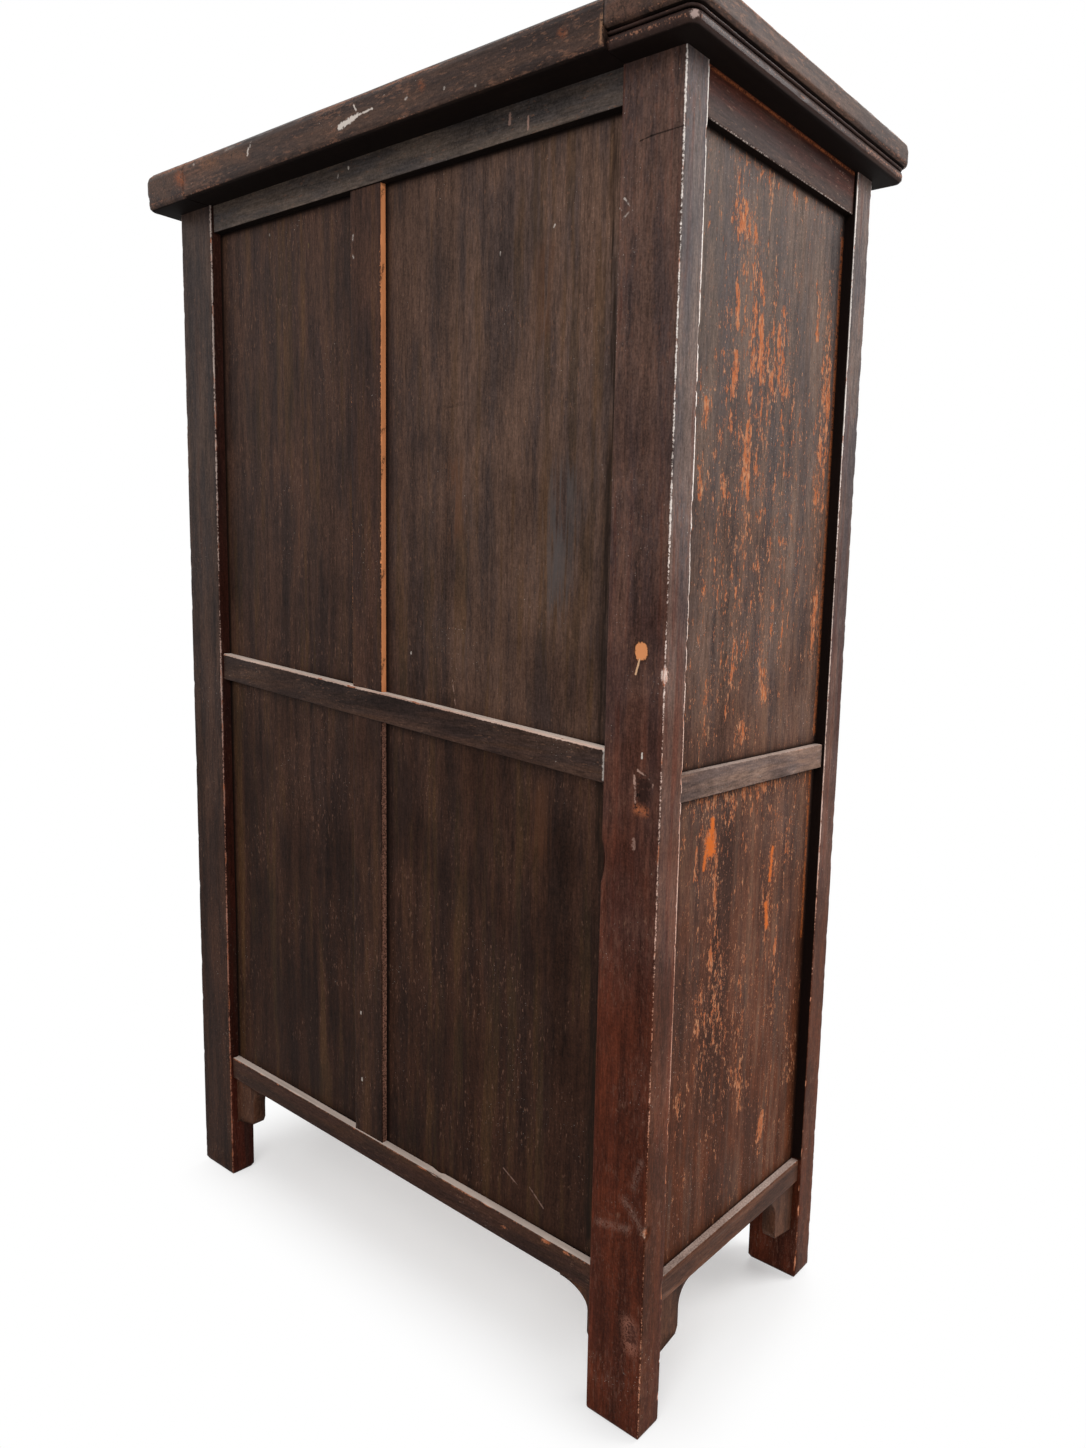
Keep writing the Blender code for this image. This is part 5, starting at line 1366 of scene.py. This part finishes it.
def hinge_section(side):
    corners = [(HINGE_IN, DOOR_Y[0], 0.002, 0.8)]
    for step in range(HINGE_STEPS + 1):
        angle = math.pi * (step / HINGE_STEPS - 0.5)
        corners.append((PIVOT[0] + DOOR_HALF * math.cos(angle), PIVOT[1] + DOOR_HALF * math.sin(angle),
                        0.0, 0.2))
    corners.append((HINGE_IN, DOOR_Y[1], 0.002, 0.8))
    return [(side * a, b, radius, wear) for a, b, radius, wear in corners]


def stubs(section, foot, head, below, above):
    """Two short bars that stand out of the lower and the upper end of a board."""
    return [draw_along(section, "Z", low, high, 0.01, 0.005, 0.001)
            for low, high in ((foot - below, foot + STUB_ROOT), (head - STUB_ROOT, head + above))]


def door_board(node, body, section, axis, ends, seed, rounding=0.002, extra=()):
    """A worn board of the front; extra skins, such as pins, join it unworn."""
    board = draw_along(section, axis, *sorted(ends), *COARSE, rounding)
    wear_down(board, seed, axis, depth=0.0010, share=0.45)
    fit_piece(node, [board, *extra], door_finish[axis], body)


def make_door(side_name, side):
    body = f"{side_name}_door"
    seed = 500 + 40 * side
    ends = (DOOR_LOW, DOOR_HIGH)
    pins = stubs(round_section((side * PIVOT[0], PIVOT[1]), PIN_RADIUS), *ends, PIN_LENGTH, PIN_LENGTH)
    door_board(f"{body}_hinge_stile", body, hinge_section(side), "Z", ends, seed, extra=pins)
    lock_section = board_section((side * LOCK_IN, side * LOCK_OUT), DOOR_Y, 0.002)
    door_board(f"{body}_lock_stile", body, lock_section, "Z", ends, seed + 3)
    rail_ends = (side * (LOCK_OUT + RAIL_PLAY), side * (HINGE_IN - RAIL_PLAY))
    for number, (level, edges) in enumerate(DOOR_RAILS.items()):
        door_board(f"{body}_{level}_rail", body, board_section(DOOR_Y, edges, 0.002), "X", rail_ends,
                   seed + 7 + number, rounding=0.0008)
    make_panel(f"{body}_panel", "Y", door_finish["Z"], body, seed + 15)


for side_word, side in SIDES.items():
    make_door(side_word, side)

centre_section = board_section((-CENTRE_HALF, CENTRE_HALF), DOOR_Y, 0.002)
tongue = board_section((-TONGUE_X, TONGUE_X), (PIVOT[1] - TONGUE_Y, PIVOT[1] + TONGUE_Y), 0.001, 0.3)
tongues = stubs(tongue, CENTRE_FOOT, CENTRE_HEAD, LOW_TONGUE, HIGH_TONGUE)
door_board("centre_stile", "centre_stile", centre_section, "Z", (CENTRE_FOOT, CENTRE_HEAD), 600,
           rounding=0.0015, extra=tongues)
print("doors", sum("door" in name for name in made), "pieces")

# %% [markdown]
# ## Brass
# A round plate in three parts covers the joint of the doors, with a loop on each part for the bar of a
# padlock. Each door has a leaf-shaped drop pull on a wire staple. The plates are thin sections drawn along
# their thickness; loops and wires are round tubes that follow a path.

# %% Plates, loops, staples and pulls
LOCK_Z = 0.980
PLATE_RADIUS, PLATE_BACK, PLATE_FRONT = 0.080, -0.2338, -0.2358
PLATE_IN, CENTRE_PLATE, LOOP_X = 0.0255, 0.022, 0.0285
LOOP_RING, LOOP_WIRE = 0.0069, 0.0021
LOOP_SINK, LOOP_CLEAR = 0.0004, 0.0002
PULL_X, PULL_Y, PULL_Z = 0.055, -0.2438, 0.965
PULL_HALF, EYE_HALF, BORE_HALF = 0.0015, 0.0035, 0.006
EYE_RADIUS, BORE_RADIUS, STAPLE_WIRE = 0.005, 0.0027, 0.0016
TUBE_SIDES, PLATE_STEPS = 12, 24
LEAF_STEPS, LEAF_TOP, LEAF_LENGTH = 24, 0.0040, 0.0580
LEAF_NECK, LEAF_BELLY, LEAF_TIP = 0.0042, 0.0095, 0.0008


def tube(path, radius, closed):
    """Round tube along points; its section turns with the path and never twists."""
    path = np.array(path, float)
    ahead = np.roll(path, -1, axis=0) - np.roll(path, 1, axis=0) if closed else np.gradient(path, axis=0)
    ahead /= np.linalg.norm(ahead, axis=1)[:, None]
    flat = np.linalg.svd(path - path.mean(axis=0))[2][2]
    across = np.cross(ahead, flat)
    angles = np.linspace(0, 2 * math.pi, TUBE_SIDES, endpoint=False)[None, :, None]
    normals = across[:, None] * np.cos(angles) + flat * np.sin(angles)
    points = (path[:, None] + radius * normals).reshape(-1, 3)
    quads, caps = ring_faces(len(path), TUBE_SIDES, flipped=False)
    if closed:
        j = np.arange(TUBE_SIDES)
        k = (j + 1) % TUBE_SIDES
        last = (len(path) - 1) * TUBE_SIDES
        quads = np.concatenate([quads, np.stack([last + j, last + k, k, j], axis=-1)])
        caps = []
    skin = Skin(points, normals.reshape(-1, 3), quads, caps, np.full(len(points), 0.6))
    corners = skin.points[quads]
    if np.einsum("ij,ij->i", corners[:, 0], np.cross(corners[:, 1], corners[:, 2])).sum() < 0:
        skin.faces = quads[:, ::-1]
        skin.caps = [cap[::-1] for cap in caps]
    return skin


def plate_section(low_x, high_x):
    """Part of the round plate between two upright lines, as corners in x and z."""
    half = [math.acos(min(1.0, x / PLATE_RADIUS)) for x in (low_x, high_x)]
    angles = np.linspace(*half, PLATE_STEPS + 1)
    upper = [(PLATE_RADIUS * math.cos(a), LOCK_Z + PLATE_RADIUS * math.sin(a)) for a in angles]
    lower = [(x, 2 * LOCK_Z - z) for x, z in reversed(upper) if z > LOCK_Z + 1e-6]
    return [(x, z, 0.0, 0.9) for x, z in upper + lower]


def make_plate(node, corners, body, loop_x):
    plate = draw_along(corners, "Y", PLATE_FRONT, PLATE_BACK, 0.006, 0.002, 0.0005)
    eye = (PLATE_FRONT - LOOP_RING + LOOP_SINK, LOCK_Z)
    loop = tube([(loop_x, y, z) for y, z, *_ in round_section(eye, LOOP_RING)], LOOP_WIRE, True)
    loop.points[:, 1] = np.minimum(loop.points[:, 1], PLATE_BACK - LOOP_CLEAR)
    fit_piece(node, [plate, loop], brass_finish, body, "brass")


for side_word, side in SIDES.items():
    plate_corners = [(side * x, *rest) for x, *rest in plate_section(PLATE_IN, PLATE_RADIUS)]
    make_plate(f"{side_word}_face_plate", plate_corners, f"{side_word}_door", side * LOOP_X)
centre_corners = [(math.copysign(min(abs(x), CENTRE_PLATE), x), *rest)
                  for x, *rest in plate_section(-CENTRE_PLATE, CENTRE_PLATE)]
make_plate("centre_face_plate", centre_corners, "centre_stile", 0.0)


def staple_path(x):
    """Out of the door, across and back in, with eased bends."""
    half, ease, deep = 0.008, 0.003, -0.2205
    path = [(x - half, deep + (PULL_Y + ease - deep) * k / 6, PULL_Z) for k in range(6)]
    path += [(x - half + ease * (1 - math.cos(a)), PULL_Y + ease * (1 - math.sin(a)), PULL_Z)
             for a in np.linspace(0, math.pi / 2, 6)]
    return path + [(2 * x - px, py, pz) for px, py, pz in reversed(path)]


def leaf_corners(x):
    """Outline of a drop pull below its eye."""
    half = []
    for step in range(LEAF_STEPS + 1):
        part = step / LEAF_STEPS
        width = LEAF_NECK * (1 - part) + LEAF_BELLY * math.sin(math.pi * part ** 1.3)
        half.append((max(width, LEAF_TIP), PULL_Z - LEAF_TOP - LEAF_LENGTH * part))
    return [(x + w, z, 0.0, 0.8) for w, z in half] + [(x - w, z, 0.0, 0.8) for w, z in reversed(half)]


for side_word, side in SIDES.items():
    x = side * PULL_X
    staple = tube(staple_path(x), STAPLE_WIRE, False)
    fit_piece(f"{side_word}_pull_staple", [staple], brass_finish, f"{side_word}_door", "brass")
    leaf = draw_along(leaf_corners(x), "Y", PULL_Y - PULL_HALF, PULL_Y + PULL_HALF, 0.004, 0.001, 0.0008)
    rolled = draw_along(round_section((PULL_Y, PULL_Z), EYE_RADIUS, 20, 0.5), "X", x - EYE_HALF, x + EYE_HALF,
                        0.01, 0.002, 0.0006)
    bore = draw_along(round_section((PULL_Y, PULL_Z), BORE_RADIUS, 16), "X", x - BORE_HALF, x + BORE_HALF,
                      0.01, 0.01, 0.00001)
    pull = f"{side_word}_pull"
    fit_piece(pull, [leaf, rolled], brass_finish, pull, "brass", [bore])
print("brass", [name for name in made if "brass" in name])

# %% [markdown]
# ## Rim and nails, with Geometry Nodes
# A raised rim runs round the edge of each plate, and small round nails stand just inside it. Both follow the
# same arc, so one tree makes both: an arc swept with a round profile gives the rim, and a smaller arc whose
# points carry flattened balls gives the nails. Realized and given their finish, they become plain meshes.

# %% Rim and nail tree
RIM_RADIUS = 0.0785
RIM_INPUTS = {
    "Plate radius": RIM_RADIUS, "Start": 0.0, "Sweep": 1.0,
    "Rim radius": 0.0013, "Nail inset": 0.0065, "Nail radius": 0.0022,
}
FIRST_NAIL = 0.06
DOOR_RIM_IN, CENTRE_RIM_OUT = 0.0275, 0.0205


def rim_tree():
    tree = bpy.data.node_groups.new("plate_rim_and_nails", "GeometryNodeTree")
    for name, value in RIM_INPUTS.items():
        tree.interface.new_socket(name, in_out="INPUT", socket_type="NodeSocketFloat").default_value = value
    tree.interface.new_socket("Nails", in_out="INPUT", socket_type="NodeSocketInt").default_value = 9
    tree.interface.new_socket("Rim", in_out="OUTPUT", socket_type="NodeSocketGeometry")
    start = Wire(tree)
    given = tree.nodes.new("NodeGroupInput")
    size = {socket.name: Wire(tree, socket) for socket in given.outputs if socket.name}
    arc = start.node("GeometryNodeCurveArc", {"mode": "RADIUS"},
                     {"Resolution": 40, "Radius": size["Plate radius"], "Start Angle": size["Start"],
                      "Sweep Angle": size["Sweep"]})
    profile = start.node("GeometryNodeCurvePrimitiveCircle", {"mode": "RADIUS"},
                         {"Resolution": 8, "Radius": size["Rim radius"]})
    rim = start.node("GeometryNodeCurveToMesh", None,
                     {"Curve": arc, "Profile Curve": profile, "Fill Caps": True})
    row = start.node("GeometryNodeCurveArc", {"mode": "RADIUS"},
                     {"Resolution": size["Nails"], "Radius": size["Plate radius"] - size["Nail inset"],
                      "Start Angle": size["Start"] + FIRST_NAIL,
                      "Sweep Angle": size["Sweep"] - 2 * FIRST_NAIL})
    ball = start.node("GeometryNodeMeshUVSphere", None,
                      {"Segments": 10, "Rings": 6, "Radius": size["Nail radius"]})
    head = start.node("GeometryNodeTransform", None, {"Geometry": ball, "Scale": (1.0, 1.0, 0.55)})
    nails = start.node("GeometryNodeInstanceOnPoints", None, {"Points": row, "Instance": head})
    joined = start.node("GeometryNodeJoinGeometry", None, {"Geometry": rim})
    tree.links.new(nails.socket, joined.socket.node.inputs["Geometry"])
    real = start.node("GeometryNodeRealizeInstances", None, {"Geometry": joined})
    rounded = start.node("GeometryNodeSetShadeSmooth", None, {"Geometry": real})
    stood = start.node("GeometryNodeTransform", None,
                       {"Geometry": rounded, "Translation": (0.0, PLATE_FRONT, LOCK_Z),
                        "Rotation": (math.pi / 2, 0.0, 0.0)})
    done = start.node("GeometryNodeSetMaterial", None, {"Geometry": stood, "Material": brass_finish})
    start.node("NodeGroupOutput", None, {"Rim": done})
    return tree


def make_rim(name, tree, body, start, sweep, nails):
    rim = add_object(name, bpy.data.meshes.new(name))
    modifier = rim.modifiers.new("rim", "NODES")
    modifier.node_group = tree
    identifiers = {item.name: item.identifier for item in tree.interface.items_tree if item.in_out == "INPUT"}
    for key, value in (("Start", start), ("Sweep", sweep), ("Nails", nails)):
        modifier[identifiers[key]] = value
    apply_modifiers(rim)
    list_piece(rim, body)


tree = rim_tree()
DOOR_ARC = math.acos(DOOR_RIM_IN / RIM_RADIUS)
make_rim("right_plate_rim", tree, "right_door", -DOOR_ARC, 2 * DOOR_ARC, 9)
make_rim("left_plate_rim", tree, "left_door", math.pi - DOOR_ARC, 2 * DOOR_ARC, 9)
CENTRE_ARC = math.acos(CENTRE_RIM_OUT / RIM_RADIUS)
make_rim("centre_plate_rim_upper", tree, "centre_stile", CENTRE_ARC, math.pi - 2 * CENTRE_ARC, 3)
make_rim("centre_plate_rim_lower", tree, "centre_stile", math.pi + CENTRE_ARC, math.pi - 2 * CENTRE_ARC, 3)
print("rims", {name: count for name, count in made.items() if "rim" in name})

# %% [markdown]
# ## Pieces and triangles
# The dressed cabinet has to keep the size of the measured one. The last cell counts the pieces and their
# triangles.

# %% Count the pieces
print(len(made), "pieces,", sum(made.values()), "triangles")
